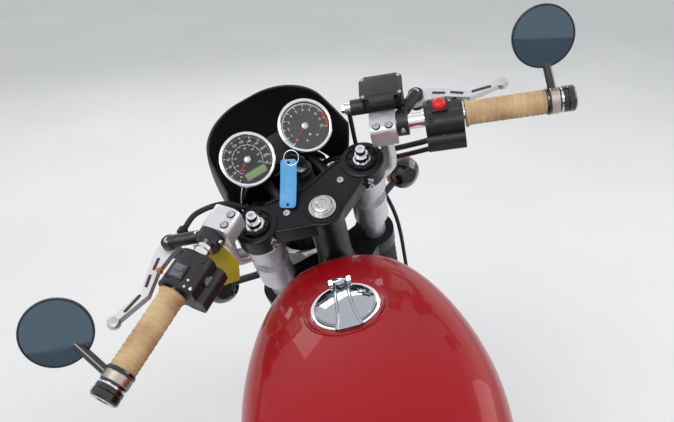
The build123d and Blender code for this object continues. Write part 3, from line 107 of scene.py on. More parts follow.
class Finish:
    """A node material on object coordinates, so that it moves with its piece."""

    def __init__(self, name, base, roughness, metallic):
        self.name = name
        self.material = bpy.data.materials.new(name)
        self.material.use_nodes = True
        self.tree = self.material.node_tree
        self.shader = self.tree.nodes["Principled BSDF"]
        self.set(base_color=base, roughness=roughness, metallic=metallic)
        self.base = base
        self.coordinates = self.tree.nodes.new("ShaderNodeTexCoord").outputs["Object"]
        self.last_normal = None

    def set(self, **values):
        set_inputs(self.shader, **values)

    def noise(self, scale, detail, stretch=None):
        """Noise at so many features a metre, stretched by a factor on each axis."""
        texture = self.tree.nodes.new("ShaderNodeTexNoise")
        set_inputs(texture, scale=scale, detail=detail)
        source = self.coordinates
        if stretch:
            mapping = self.tree.nodes.new("ShaderNodeMapping")
            set_inputs(mapping, scale=stretch)
            self.tree.links.new(source, mapping.inputs["Vector"])
            source = mapping.outputs["Vector"]
        self.tree.links.new(source, texture.inputs["Vector"])
        return texture.outputs["Fac"]

    def cells(self, scale, feature="F1"):
        texture = self.tree.nodes.new("ShaderNodeTexVoronoi")
        texture.feature = feature
        set_inputs(texture, scale=scale)
        self.tree.links.new(self.coordinates, texture.inputs["Vector"])
        return texture

    def ramp(self, factor, low, high, low_value, high_value):
        """Maps a factor between two places onto two values or colours."""
        node = self.tree.nodes.new("ShaderNodeValToRGB")
        node.color_ramp.elements[0].position = low
        node.color_ramp.elements[1].position = high
        for element, value in zip(node.color_ramp.elements, (low_value, high_value)):
            element.color = value if hasattr(value, "__len__") else (value, value, value, 1)
        self.tree.links.new(factor, node.inputs["Fac"])
        return node.outputs["Color"]

    def drive(self, name, source):
        self.tree.links.new(source, self.shader.inputs[name])

    def mottle(self, scale, other, low, high, detail=4.0, stretch=None):
        """Blends the base colour towards another by noise."""
        factor = self.noise(scale, detail, stretch)
        self.drive("Base Color", self.ramp(factor, low, high, self.base, other))

    def wear(self, scale, low_rough, high_rough, detail=4.0, stretch=None):
        factor = self.noise(scale, detail, stretch)
        self.drive("Roughness", self.ramp(factor, 0.3, 0.7, low_rough, high_rough))

    def relief(self, height, strength, distance):
        """Adds bump from a height, on top of what is there."""
        bump = self.tree.nodes.new("ShaderNodeBump")
        set_inputs(bump, strength=strength, distance=distance)
        self.tree.links.new(height, bump.inputs["Height"])
        if self.last_normal is not None:
            self.tree.links.new(self.last_normal, bump.inputs["Normal"])
        self.last_normal = bump.outputs["Normal"]
        self.drive("Normal", self.last_normal)

    def grain(self, scale, strength, distance, detail=2.0):
        self.relief(self.noise(scale, detail), strength, distance)


def make_finish(name, base, roughness, metallic=0.0, mottle=None, wear=None, grain=None, **values):
    """A finish with what its mottle, wear and grain take, and values of its shader."""
    made = Finish(name, base, roughness, metallic)
    for method, settings in ((made.mottle, mottle), (made.wear, wear), (made.grain, grain)):
        if settings:
            method(*settings)
    made.set(**values)
    return made


def scaled(base, factor, lift=0.0):
    """A colour made darker or lighter by a factor, and lifted a little."""
    return tuple(min(1, part * factor + lift) for part in base[:3]) + (1,)


def satin_paint(name, base, roughness):
    mottle = (14, scaled(base, 1.5, 0.006), 0.45, 0.75)
    wear = (60, roughness - 0.06, roughness + 0.10)
    grain = (1500, 0.12, 0.0002)
    return make_finish(name, base, roughness, 0.0, mottle, wear, grain, specular_ior_level=0.25)


def cast_metal(name, base, roughness):
    mottle = (30, scaled(base, 0.72), 0.5, 0.8)
    wear = (80, roughness - 0.08, roughness + 0.12)
    return make_finish(name, base, roughness, 0.9, mottle, wear, (900, 0.2, 0.0003))


def brushed_metal(name, base, roughness, stretch):
    mottle = (40, scaled(base, 0.85), 0.4, 0.7, 4.0, stretch)
    wear = (400, roughness - 0.08, roughness + 0.10, 4.0, stretch)
    return make_finish(name, base, roughness, 1.0, mottle, wear)


def flat_finish(name, tone, roughness=0.6, scale=60):
    """A printed or moulded surface with a faint unevenness."""
    mottle = (scale, scaled(tone, 1.18, 0.004), 0.45, 0.8)
    wear = (scale * 3, roughness - 0.06, roughness + 0.08)
    return make_finish(name, tone, roughness, 0.0, mottle, wear)


def lens(name, base, transmission):
    finish = make_finish(
        name, base, 0.08, transmission_weight=transmission, coat_weight=0.5, coat_roughness=0.03
    )
    finish.relief(finish.cells(260).outputs["Distance"], 0.25, 0.0006)
    return finish


red = make_finish(
    "red_paint",
    colour(160, 5, 18),
    0.42,
    0.1,
    mottle=(3, colour(146, 4, 15), 0.3, 0.8),
    coat_weight=0.55,
    coat_roughness=0.04,
    coat_ior=1.35,
    specular_ior_level=0.15,
)
flakes = red.cells(2600)
red.drive("Roughness", red.ramp(flakes.outputs["Distance"], 0.0, 0.9, 0.30, 0.46))

grip = make_finish(
    "tan_grip", colour(188, 155, 114), 0.62, wear=(120, 0.50, 0.74), grain=(700, 0.5, 0.0004, 4)
)
grip_tone = grip.ramp(grip.noise(26, 5), 0.36, 0.76, colour(208, 178, 132), colour(166, 122, 88))
grip.drive("Base Color", grip_tone)

leather = make_finish(
    "seat_leather",
    colour(30, 28, 27),
    0.46,
    mottle=(24, colour(44, 41, 39), 0.45, 0.8),
    wear=(40, 0.38, 0.58),
)
creases = leather.cells(420, "DISTANCE_TO_EDGE")
leather.relief(leather.ramp(creases.outputs["Distance"], 0.0, 0.12, 0.0, 1.0), 0.45, 0.0004)
leather.grain(1400, 0.2, 0.0002)

gloss = make_finish(
    "gloss_black", colour(12, 12, 14), 0.12, mottle=(20, colour(20, 20, 22), 0.5, 0.85)
)
gloss.set(coat_weight=0.6, coat_roughness=0.04)

clear = make_finish("clear_glass", (0.98, 0.99, 1.0, 1), 0.02, grain=(12, 0.02, 0.0002))
clear.set(transmission_weight=1.0, ior=1.12, coat_weight=0.6, coat_roughness=0.02)

lamp_glass = make_finish("lamp_glass", (0.93, 0.95, 0.97, 1), 0.03)
lamp_glass.set(transmission_weight=0.95, ior=1.35, coat_weight=0.5, coat_roughness=0.02)
lamp_glass.relief(lamp_glass.noise(60, 1, (1, 12, 1)), 0.2, 0.0008)

# The other finishes. make_finish takes base, roughness, metal, and what mottle, wear and grain take
FINISHES = (
    (make_finish, "chrome", (0.78, 0.79, 0.81, 1), 0.05, 1.0, None, (35, 0.03, 0.11)),
    # The fuel cap's chrome is darker than real chrome: a painted darker reflection of the surroundings
    (make_finish, "cap_chrome", (0.44, 0.46, 0.50, 1), 0.06, 1.0, None, (35, 0.04, 0.12)),
    (make_finish, "mirror_glass", (0.09, 0.13, 0.17, 1), 0.03, 1.0, None, (20, 0.015, 0.06)),
    (
        make_finish, "satin_silver", (0.66, 0.65, 0.68, 1), 0.40, 0.85,
        (45, (0.58, 0.56, 0.60, 1), 0.45, 0.8), (120, 0.34, 0.50), (2200, 0.10, 0.0002),
    ),
    (
        make_finish, "rubber", colour(19, 19, 20), 0.58, 0.0,
        (40, colour(32, 31, 31), 0.45, 0.8), (70, 0.52, 0.74), (800, 0.18, 0.0003),
    ),
    (
        make_finish, "tyre", colour(30, 30, 30), 0.72, 0.0,
        (26, colour(52, 50, 47), 0.42, 0.78), (50, 0.62, 0.85), (500, 0.25, 0.0004),
    ),
    (
        make_finish, "black_plastic", colour(17, 17, 20), 0.40, 0.0,
        (50, colour(30, 30, 33), 0.5, 0.82), (90, 0.36, 0.56), (1800, 0.22, 0.0003),
    ),
    (
        make_finish, "screen_black", colour(9, 9, 11), 0.55, 0.0,
        (18, colour(15, 15, 17), 0.45, 0.85), (30, 0.46, 0.64),
    ),
    (
        make_finish, "chain_steel", (0.20, 0.19, 0.18, 1), 0.36, 0.9,
        (120, (0.09, 0.08, 0.07, 1), 0.4, 0.7), (200, 0.26, 0.52),
    ),
    (satin_paint, "frame_black", colour(14, 14, 16), 0.40),
    (satin_paint, "yoke_black", colour(15, 16, 20), 0.30),
    (satin_paint, "engine_black", colour(24, 24, 25), 0.50),
    (brushed_metal, "steel", (0.56, 0.56, 0.57, 1), 0.28, (1, 6, 1)),
    (cast_metal, "alloy", (0.60, 0.60, 0.61, 1), 0.34),
    (cast_metal, "clamp_bronze", (0.50, 0.44, 0.38, 1), 0.32),
    (lens, "red_lens", colour(190, 12, 14), 0.35),
    (lens, "amber_lens", colour(235, 120, 20), 0.45),
    (flat_finish, "dial_black", colour(16, 16, 18)),
    (flat_finish, "dial_charcoal", colour(58, 58, 60)),
    (flat_finish, "dial_white", colour(225, 226, 222)),
    (flat_finish, "dial_red", colour(190, 26, 22), 0.5),
    (flat_finish, "lcd_green", colour(125, 150, 95), 0.35),
    (flat_finish, "switch_red", colour(214, 24, 30), 0.38, 90),
    (flat_finish, "switch_white", colour(214, 216, 214), 0.45, 90),
    (flat_finish, "switch_grey", colour(88, 94, 104), 0.45, 90),
    (flat_finish, "tag_blue", colour(58, 150, 208), 0.42, 40),
    (flat_finish, "tag_yellow", colour(188, 168, 28), 0.5, 40),
)
finishes = [red, grip, leather, gloss, clear, lamp_glass]
finishes += [maker(*settings) for maker, *settings in FINISHES]
LOOKS = {finish.name: finish.material for finish in finishes}
LOOKS["lamp"] = LOOKS["chrome"]

# Nodes that don't take the look of their slot
NODE_LOOKS = {
    "fly_screen": "screen_black",
    "headlamp": "gloss_black",
    "gauges": "black_plastic",
    "ignition_switch": "black_plastic",
    "headlamp_brackets": "satin_silver",
    "fork_tubes": "satin_silver",
    # The cap lid takes the chrome darkened as a painted darker reflection
    "fuel_cap_lid": "cap_chrome",
}
for row in frame["record"]["subparts"]:
    name = row["node"]
    materials = nodes[name].data.materials
    materials.clear()
    materials.append(LOOKS[NODE_LOOKS.get(name, row["material_slot"])])


# Mesh helpers, in local millimetres


def circle(place, radius, count, lift=0.0):
    """Points round the z axis of a place."""
    turns = [TAU * index / count for index in range(count)]
    return [place @ Vector((radius * math.cos(a), radius * math.sin(a), lift)) for a in turns]


def join_loops(bm, loops, closed=False):
    """Faces between rings that have as many points each, or a single point."""
    pairs = list(zip(loops, loops[1:]))
    if closed:
        pairs.append((loops[-1], loops[0]))
    for low, high in pairs:
        count = max(len(low), len(high))
        for index in range(count):
            after = (index + 1) % count
            if len(low) == 1:
                bm.faces.new((low[0], high[index], high[after]))
            elif len(high) == 1:
                bm.faces.new((low[index], high[0], low[after]))
            else:
                bm.faces.new((low[index], low[after], high[after], high[index]))


def join_capped(bm, loops):
    """Faces between rings, and one over each end."""
    join_loops(bm, loops)
    bm.faces.new(list(reversed(loops[0])))
    bm.faces.new(loops[-1])


def ring_radius(radius, corners, angle):
    """The radius of a circle, or of a polygon with that many corners, at an angle."""
    if not corners:
        return radius
    step = TAU / corners
    return radius * math.cos(step / 2) / math.cos(angle % step - step / 2)


def axis_place(origin, direction, front=None):
    """A local frame whose z runs along a direction, and x near front."""
    z_axis = Vector(direction).normalized()
    if front is None:
        front = (0, 0, 1) if abs(z_axis.z) < 0.9 else (1, 0, 0)
    guide = Vector(front)
    x_axis = (guide - z_axis * guide.dot(z_axis)).normalized()
    place = Matrix((x_axis, z_axis.cross(x_axis), z_axis)).transposed().to_4x4()
    place.translation = origin
    return place


def add_turned(bm, outline, place, segments=48, closed=False):
    """A turned form. The outline lists distance along z, radius and, if not round, corners."""
    loops = []
    for along, size, *corners in outline:
        loop = []
        for index in range(segments if size else 1):
            angle = TAU * index / segments
            radius = ring_radius(size, corners[0] if corners else 0, angle)
            point = Vector((radius * math.cos(angle), radius * math.sin(angle), along))
            loop.append(bm.verts.new(place @ point))
        loops.append(loop)
    join_loops(bm, loops, closed)


def frames_along(points, closed):
    """Each point with two directions across the path, which turn as little as they can."""
    points = [Vector(point) for point in points]
    count = len(points)
    rows = []
    side = None
    for index, point in enumerate(points):
        before = points[(index - 1) % count] if closed else points[max(index - 1, 0)]
        after = points[(index + 1) % count] if closed else points[min(index + 1, count - 1)]
        tangent = (after - before).normalized()
        if side is None:
            side = tangent.orthogonal().normalized()
        side = (side - tangent * side.dot(tangent)).normalized()
        rows.append((point, side, tangent.cross(side)))
    return rows


def add_tube(bm, points, radius, segments=10, closed=False):
    """A round tube along points."""
    loops = []
    for point, side, other in frames_along(points, closed):
        loop = []
        for k in range(segments):
            angle = TAU * k / segments
            out = side * math.cos(angle) + other * math.sin(angle)
            loop.append(bm.verts.new(point + out * radius))
        loops.append(loop)
    if closed:
        join_loops(bm, loops, True)
    else:
        join_capped(bm, loops)


def add_prism(bm, outline, low, high, place, bevel=0.0, bevel_segments=2):
    """An outline in x and y, raised from low to high, with rounded edges."""
    bottom = [bm.verts.new(place @ Vector((x, y, low))) for x, y in outline]
    top = [bm.verts.new(place @ Vector((x, y, high))) for x, y in outline]
    bm.faces.new(list(reversed(bottom)))
    bm.faces.new(top)
    join_loops(bm, (bottom, top))
    if bevel:
        bmesh.ops.bevel(
            bm,
            geom=list({edge for vert in bottom + top for edge in vert.link_edges}),
            offset=bevel,
            segments=bevel_segments,
            profile=0.5,
            affect="EDGES",
            clamp_overlap=True,
        )


def rounded_outline(width, height, radius, steps=5):
    """A rectangle with round corners, about its middle."""
    points = []
    for quarter, (x_sign, y_sign) in enumerate(((1, 1), (-1, 1), (-1, -1), (1, -1))):
        x_centre = x_sign * (width / 2 - radius)
        y_centre = y_sign * (height / 2 - radius)
        for step in range(steps + 1):
            angle = TAU / 4 * (quarter + step / steps)
            points.append((x_centre + radius * math.cos(angle), y_centre + radius * math.sin(angle)))
    return points


def add_block(bm, size, place, bevel):
    """A rounded block about its middle."""
    x, y, z = (length / 2 for length in size)
    add_prism(bm, [(x, y), (-x, y), (-x, -y), (x, -y)], -z, z, place, bevel, 3)


def add_socket_bolt(bm, place, radius, height):
    """A round bolt head with a hexagonal socket, standing on z = 0."""
    outline = (
        (-0.5, radius),
        (height - 0.5, radius),
        (height, radius - 0.6),
        (height, radius * 0.56, 6),
        (height * 0.35, radius * 0.56, 6),
        (height * 0.35, 0),
    )
    add_turned(bm, outline, place, 24)


def smooth_path(points, steps=8, closed=False):
    """Points of a smooth curve through the given ones."""
    points = [Vector(point) for point in points]
    count = len(points)
    made = []
    for index in range(count if closed else count - 1):
        around = [index + offset for offset in (-1, 0, 1, 2)]
        if closed:
            a, b, c, d = (points[place % count] for place in around)
        else:
            a, b, c, d = (points[min(max(place, 0), count - 1)] for place in around)
        for step in range(steps):
            t = step / steps
            bend = (2 * a - 5 * b + 4 * c - d) * t**2 + (3 * b - a - 3 * c + d) * t**3
            made.append(0.5 * (2 * b + (c - a) * t + bend))
    if not closed:
        made.append(points[-1])
    return made


def piece(name, bm, slot, sharp, look=None, body="steering"):
    """Turns a mesh in local millimetres into a piece that rides on a body."""
    bmesh.ops.recalc_face_normals(bm, faces=bm.faces)
    mesh = bpy.data.meshes.new(name)
    bm.to_mesh(mesh)
    bm.free()
    mesh.transform(STEER if body in ("steering", "front_wheel") else BIKE)
    mesh.shade_smooth()
    mesh.set_sharp_from_angle(angle=math.radians(sharp))
    made = bpy.data.objects.new(name, mesh)
    bpy.context.scene.collection.objects.link(made)
    mesh.materials.append(LOOKS[look or slot])
    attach(made, body)
    return made


def turned_piece(
    name, slot, sharp, outline, places, segments=48, closed=False, look=None, body="steering"
):
    """A piece that is the same turned form at each of some places."""
    bm = bmesh.new()
    for place in places:
        add_turned(bm, outline, place, segments, closed)
    return piece(name, bm, slot, sharp, look, body)


# Instruments

DIAL_PLACES = ((120, 51, 36.5), (120, -51, 36.5))
DIAL_TILT = math.radians(30)
DIAL_RADIUS = 37
BEZEL_RADIUS = 42.3
FACE_DEPTH = -3.4
FACE_RADIUS = 37.6
PRINT_THICKNESS = 0.3


def dial_place(centre):
    """x to the right as the rider sees it, y away from them, z out of the glass."""
    right = Vector((0, -1, 0))
    ahead = Vector((math.cos(DIAL_TILT), 0, math.sin(DIAL_TILT)))
    place = Matrix((right, ahead, right.cross(ahead))).transposed().to_4x4()
    place.translation = centre
    return place


def clock_point(degrees, radius, height):
    """A point on a dial by its angle clockwise from the top."""
    turn = math.radians(degrees)
    return Vector((radius * math.sin(turn), radius * math.cos(turn), height))


def spread(span, index, count):
    """One of so many angles, spread evenly over a span."""
    start, end = span
    return start + (end - start) * index / (count - 1)


def add_ticks(bm, place, span, count, inner, outer, half_width):
    """Raised strokes on a dial."""
    stroke = ((-half_width, inner), (-half_width, outer), (half_width, outer), (half_width, inner))
    for index in range(count):
        turn = Matrix.Rotation(-math.radians(spread(span, index, count)), 4, "Z")
        add_prism(bm, stroke, FACE_DEPTH, FACE_DEPTH + PRINT_THICKNESS, place @ turn)


def add_arc(bm, place, span, inner, outer, height, count):
    """A raised band on a dial, between two angles and two radii."""
    corners = ((inner, 0), (outer, 0), (outer, PRINT_THICKNESS), (inner, PRINT_THICKNESS))
    rows = []
    for index in range(count):
        angle = spread(span, index, count)
        points = [clock_point(angle, radius, height + lift) for radius, lift in corners]
        rows.append([bm.verts.new(place @ point) for point in points])
    join_capped(bm, rows)


def add_numbers(bm, place, span, count, step, radius, size):
    """Numbers standing on a dial, from 0 up."""
    for index in range(count):
        curve = bpy.data.curves.new("number", "FONT")
        curve.body = str(step * index)
        curve.size = size
        curve.align_x = "CENTER"
        curve.align_y = "CENTER"
        curve.extrude = 0.12
        curve.resolution_u = 2
        holder = bpy.data.objects.new("number", curve)
        mesh = bpy.data.meshes.new_from_object(holder)
        where = clock_point(spread(span, index, count), radius, FACE_DEPTH + PRINT_THICKNESS / 2)
        mesh.transform(place @ Matrix.Translation(where))
        bm.from_mesh(mesh)
        bpy.data.objects.remove(holder)
        bpy.data.curves.remove(curve)
        bpy.data.meshes.remove(mesh)


speed_place, rev_place = (dial_place(centre) for centre in DIAL_PLACES)
dial_places = (speed_place, rev_place)
BEZEL = (
    (-6, BEZEL_RADIUS - 0.4),
    (0.4, BEZEL_RADIUS),
    (1.8, BEZEL_RADIUS - 0.7),
    (2.4, BEZEL_RADIUS - 2.0),
    (2.2, DIAL_RADIUS + 1.4),
    (1.2, DIAL_RADIUS + 0.3),
    (-1.5, DIAL_RADIUS),
    (-1.6, DIAL_RADIUS + 1.6),
)
turned_piece("gauge_bezels", "chrome", 40, BEZEL, dial_places, 96, True)
for name, place, dish, look in (
    ("speed_dial", speed_place, 14, "dial_black"),
    ("rev_dial", rev_place, 16, "dial_charcoal"),
):
    outline = (
        (FACE_DEPTH - 1, FACE_RADIUS),
        (FACE_DEPTH, FACE_RADIUS),
        (FACE_DEPTH, dish),
        (FACE_DEPTH - 0.4, dish - 0.4),
        (FACE_DEPTH - 0.4, 0),
    )
    turned_piece(name, "black_plastic", 30, outline, [place], 96, look=look)

# Printing: speeds by twenties on an outer and an inner scale, and revs by thousands
SPEED_SPAN = (-130, 130)
REV_SPAN = (-120, 120)
RED_ZONE = 79
# Strokes: dial, angles, count, inner and outer radius, half width
STROKES = (
    (speed_place, SPEED_SPAN, 12, 32.2, 36, 0.5),
    (speed_place, SPEED_SPAN, 56, 34.2, 36, 0.22),
    (speed_place, SPEED_SPAN, 15, 20.8, 22.6, 0.3),
    (rev_place, REV_SPAN, 11, 30.4, 35.4, 0.55),
    (rev_place, REV_SPAN, 51, 32.8, 35.0, 0.22),
)
# Scales: dial, angles, count, step, radius and size
SCALES = (
    (speed_place, SPEED_SPAN, 12, 20, 28, 5.0),
    (speed_place, SPEED_SPAN, 8, 20, 17.4, 3.4),
    (rev_place, REV_SPAN, 11, 1, 25.5, 6.4),
)
print_white = bmesh.new()
for row in STROKES:
    add_ticks(print_white, *row)
for row in SCALES:
    add_numbers(print_white, *row)
add_arc(print_white, speed_place, SPEED_SPAN, 22.6, 23.1, FACE_DEPTH, 65)
add_arc(print_white, rev_place, (REV_SPAN[0], RED_ZONE), 34.2, 35.4, FACE_DEPTH, 65)
piece("dial_printing", print_white, "black_plastic", 30, "dial_white")

print_red = bmesh.new()
add_arc(print_red, rev_place, (RED_ZONE, REV_SPAN[1]), 32.6, 35.8, FACE_DEPTH + 0.05, 25)
for place, angle in ((speed_place, 241), (rev_place, 244)):
    turn = place @ Matrix.Rotation(-math.radians(angle), 4, "Z")
    outline = [(-1.3, -7), (1.3, -7), (0.9, 8), (0.35, 31), (-0.35, 31), (-0.9, 8)]
    add_prism(print_red, outline, FACE_DEPTH + 1.0, FACE_DEPTH + 1.7, turn)
piece("dial_needles", print_red, "black_plastic", 30, "dial_red")

HUB = ((0.1, 5.2), (2.0, 5.0), (2.5, 4.2), (2.7, 0))
outline = [(FACE_DEPTH + rise, radius) for rise, radius in HUB]
turned_piece("dial_hubs", "satin_silver", 40, outline, dial_places, 32)

LCD_PLACE = speed_place @ Matrix.Translation((1, -23, FACE_DEPTH))
lcd = bmesh.new()
add_prism(lcd, rounded_outline(33, 10.5, 1.6), 0.05, 0.35, LCD_PLACE)
piece("speed_lcd", lcd, "black_plastic", 30, "lcd_green")
lcd_frame = bmesh.new()
frame_outer = rounded_outline(37, 14, 3)
frame_inner = rounded_outline(33.4, 10.9, 1.8)
rows = []
for outline, height in ((frame_outer, 0), (frame_outer, 0.6), (frame_inner, 0.6), (frame_inner, 0)):
    rows.append([lcd_frame.verts.new(LCD_PLACE @ Vector((x, y, height))) for x, y in outline])
join_loops(lcd_frame, rows, True)
piece("speed_lcd_frame", lcd_frame, "black_plastic", 30, "dial_charcoal")

lamps = bmesh.new()
for x, y, radius in ((0, -14.8, 1.8), (-9, -21, 1.4), (9, -21, 1.4)):
    outline = ((FACE_DEPTH, radius), (FACE_DEPTH + 0.5, radius - 0.1), (FACE_DEPTH + 0.8, 0))
    add_turned(lamps, outline, rev_place @ Matrix.Translation((x, y, 0)), 20)
piece("dial_lamps", lamps, "black_plastic", 40, "dial_white")

GLASS = ((-0.6, 37.2), (0.3, 37.2), (0.9, 30), (1.3, 18), (1.4, 0))
turned_piece("gauge_glass", "gloss_black", 60, GLASS, dial_places, 64, look="clear_glass")


# Mirrors

MIRRORS = (
    ((-19, 369, 106), (-0.747, 0.029, 0.664)),
    ((-36, -362, 130), (-0.72, 0.40, 0.56)),
)
MIRROR_FACE = ((3.6, 40.6), (4.3, 40.3), (4.5, 30), (4.6, 0))
MIRROR_RIM = ((2.5, 40.9), (4.9, 40.6), (5.2, 41.4), (4.6, 42.6), (1.5, 43.0), (1.5, 41.5))
places = [axis_place(centre, facing) for centre, facing in MIRRORS]
turned_piece("mirror_faces", "gloss_black", 50, MIRROR_FACE, places, 72, look="mirror_glass")
turned_piece("mirror_rims", "gloss_black", 50, MIRROR_RIM, places, 72, True, "black_plastic")


# Grips, wrapped in cord

BAR_BASE = Vector((34, 138, 49))
BAR_WAY = Vector((-0.538, 0.840, 0.074))
GRIP_START = 117
GRIP_LENGTH = 112
GRIP_RADIUS = 17.5


def bar_place(side, along):
    """A frame on a handlebar, z out along it and x ahead."""
    base = Vector((BAR_BASE.x, side * BAR_BASE.y, BAR_BASE.z))
    way = Vector((BAR_WAY.x, side * BAR_WAY.y, BAR_WAY.z)).normalized()
    top = (Vector((0, 0, 1)) - way * way.z).normalized()
    return axis_place(base + way * along, way, way.cross(top) * side)


WRAP_LINES = (7, 12, 20, 29, 33, 41, 50, 54, 63, 71, 75, 84, 93, 98, 104)
WRAP_CORE = 12.5
outline = [(0, WRAP_CORE)]
for along, rise in ((0, 1.6), (1.2, 2.4), (3, 2.2), (5, 0.6)):
    outline.append((along, GRIP_RADIUS + rise))
for line in WRAP_LINES:
    for along, rise in ((0, -0.5), (0.5, 0.1), (1.3, 0.1), (1.8, -0.5)):
        outline.append((line + along, GRIP_RADIUS + rise))
for back, rise in ((1.2, -0.3), (0, -1.4)):
    outline.append((GRIP_LENGTH - back, GRIP_RADIUS + rise))
outline.append((GRIP_LENGTH, WRAP_CORE))
places = [bar_place(side, GRIP_START) for side in SIDES]
grips = turned_piece("grip_wraps", "tan_grip", 55, outline, places, 64)
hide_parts("grips")


# Controls on the handlebars


def bar_top(side, along, ahead=0.0, up=0.0):
    """A frame on a handlebar: z up from it, x ahead, y along it."""
    place = bar_place(side, along)
    forward = place.to_3x3() @ Vector((1, 0, 0))
    way = place.to_3x3() @ Vector((0, 0, 1))
    top = (Vector((0, 0, 1)) - way * way.z).normalized()
    return axis_place(place.translation + forward * ahead + top * up, top, forward)


def bar_point(side, along, ahead=0.0, up=0.0):
    return bar_top(side, along, ahead, up).translation


def add_swept(bm, points, outline, side, widths=None):
    """An outline swept along points, its first direction near side and scaled by widths."""
    points = [Vector(point) for point in points]
    loops = []
    for index, point in enumerate(points):
        after = points[min(index + 1, len(points) - 1)]
        tangent = (after - points[max(index - 1, 0)]).normalized()
        across = (Vector(side) - tangent * Vector(side).dot(tangent)).normalized()
        other = tangent.cross(across)
        scale = widths[index] if widths else 1
        loops.append([bm.verts.new(point + across * (x * scale) + other * y) for x, y in outline])
    join_capped(bm, loops)


# The fork legs in the steering frame, and the riser clamps round them
LEG_X = 36
LEG_Y = 94
RISER_RING = ((-68, 21), (-68, 29), (-66, 31), (-36, 31), (-34, 29), (-34, 21))
RISER_ARM = (
    (36, 118, -55), (37, 131, -53), (37, 141, -44), (36, 142, -20), (34, 139, 14), (34, 138, 38),
)
leg_places = [Matrix.Translation((LEG_X, side * LEG_Y, 0)) for side in SIDES]
risers = bmesh.new()
bolt_rings = bmesh.new()
bolts = bmesh.new()
for side, leg in zip(SIDES, leg_places):
    add_turned(risers, RISER_RING, leg, 64, closed=True)
    arm = smooth_path([(x, side * y, z) for x, y, z in RISER_ARM], 8)
    add_swept(risers, arm, rounded_outline(26, 15, 5), (1, 0, 0))
    block = [(x - 6, y) for x, y in rounded_outline(42, 40, 9)]
    add_prism(risers, block, -19, 19, bar_place(side, 0), 1.2)
    for along in (-9, 9):
        seat = bar_top(side, along, -18, 20)
        add_turned(bolt_rings, ((0, 5.9), (0.5, 5.9), (0.5, 4.6), (0, 4.6)), seat, 24, closed=True)
        add_socket_bolt(bolts, seat, 4.5, 2.0)
riser_piece = piece("bar_riser_castings", risers, "satin_silver", 40)
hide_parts("bar_risers")
piece("riser_bolt_rings", bolt_rings, "black_plastic", 40)
piece("riser_bolts", bolts, "steel", 30)

# Fork caps: a notched black ring round a bright adjuster
CAP_INNER = 15
CAP_OUTER = 21
CAP_RING = ((0.3, CAP_INNER), (0.3, CAP_OUTER), (4.6, CAP_OUTER), (5, CAP_OUTER - 0.4), (5, CAP_INNER))
CAP_TOOTH = (-0.26, -0.09, 0.09, 0.26)
ADJUSTER = (
    (0.4, 13), (4, 13), (4, 11), (14.5, 11), (16, 9.6), (16, 7.6), (27, 7.6), (28, 6.8), (28, 4, 6),
    (22, 4, 6), (22, 0),
)
sector = [(CAP_INNER, CAP_TOOTH[0])] + [(CAP_OUTER, angle) for angle in CAP_TOOTH]
sector += [(CAP_INNER, CAP_TOOTH[-1]), (CAP_INNER, 0)]
sector = [(radius * math.cos(angle), radius * math.sin(angle)) for radius, angle in sector]
cap_rings = bmesh.new()
for leg in leg_places:
    add_turned(cap_rings, CAP_RING, leg, 64, closed=True)
    for index in range(8):
        turn = leg @ Matrix.Rotation(TAU * index / 8, 4, "Z")
        add_prism(cap_rings, sector, 4.5, 8, turn, 0.4, 1)
caps = piece("fork_cap_rings", cap_rings, "yoke_black", 35)
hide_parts("fork_caps")
turned_piece("fork_adjusters", "chrome", 35, ADJUSTER, leg_places)

# Upper yoke: a raised lip along its edges and a collar round each leg
yoke = bmesh.new()
YOKE_LIPS = (
    ((7, 76), (-5, 52), (-17, 26), (-27, 11), (-28.5, 0), (-27, -11), (-17, -26), (-5, -52), (7, -76)),
    ((58, 64), (53, 34), (48, 12), (47, 0), (48, -12), (53, -34), (58, -64)),
)
for lip in YOKE_LIPS:
    add_tube(yoke, smooth_path([(x, y, 0.4) for x, y in lip], 6), 2.6, 12)
COLLAR = ((-1, 24), (2.6, 24), (3.2, 24.6), (3.2, 31), (2.4, 32.4), (-1, 32.8))
for leg in leg_places:
    add_turned(yoke, COLLAR, leg, 72, closed=True)
add_turned(yoke, ((-1, 21), (1.6, 21), (1.6, 26), (-1, 27)), Matrix.Identity(4), 64, closed=True)
piece("yoke_edges", yoke, "yoke_black", 45)
yoke_bolts = bmesh.new()
STEM_TOP = ((10.8, 14.6), (12.4, 14), (13.2, 12.4), (13.2, 8), (11.4, 6.4), (11.3, 0))
add_turned(yoke_bolts, STEM_TOP, Matrix.Identity(4), 48)
for side in SIDES:
    for height in (-22, -9):
        place = axis_place((LEG_X - 30, side * (LEG_Y - 9), height), (-1, 0, 0))
        add_socket_bolt(yoke_bolts, place, 5, 6)
    add_socket_bolt(yoke_bolts, Matrix.Translation((24, side * 47, -0.2)), 5.2, 4.4)
piece("yoke_bolts", yoke_bolts, "steel", 30)

# Switch housings: the left dip switch and buttons, the right kill switch and starter
BLOCK_TOP = 22
housing = bmesh.new()
for side in SIDES:
    for along, radius in ((61.2, 24.6), (112.2, 24.8)):
        flange = ((-1.6, radius - 0.8), (-0.8, radius), (0.8, radius), (1.6, radius - 0.8))
        flange = ((-1.6, 12), *flange, (1.6, 12))
        add_turned(housing, flange, bar_place(side, along), 48, closed=True)
    for along, ahead in ((68, 10), (104, 10), (68, -22)):
        recess = ((-0.3, 4.2), (0.8, 4.0), (0.8, 2.4), (0.1, 2.2), (0.1, 0))
        add_turned(housing, recess, bar_top(side, along, ahead, BLOCK_TOP), 20)
    seam = [bar_point(side, along, -30.5, -4) for along in (64, 87, 109)]
    seam_side = bar_place(side, 60).to_3x3() @ Vector((1, 0, 0))
    add_swept(housing, seam, rounded_outline(2.4, 3.2, 1.0), seam_side)
dip = bar_top(1, 94, -1, BLOCK_TOP)
add_prism(housing, [(11, 12.5), (-11, 10), (-11, -12), (11, -13)], -0.5, 2.6, dip, 1.0)
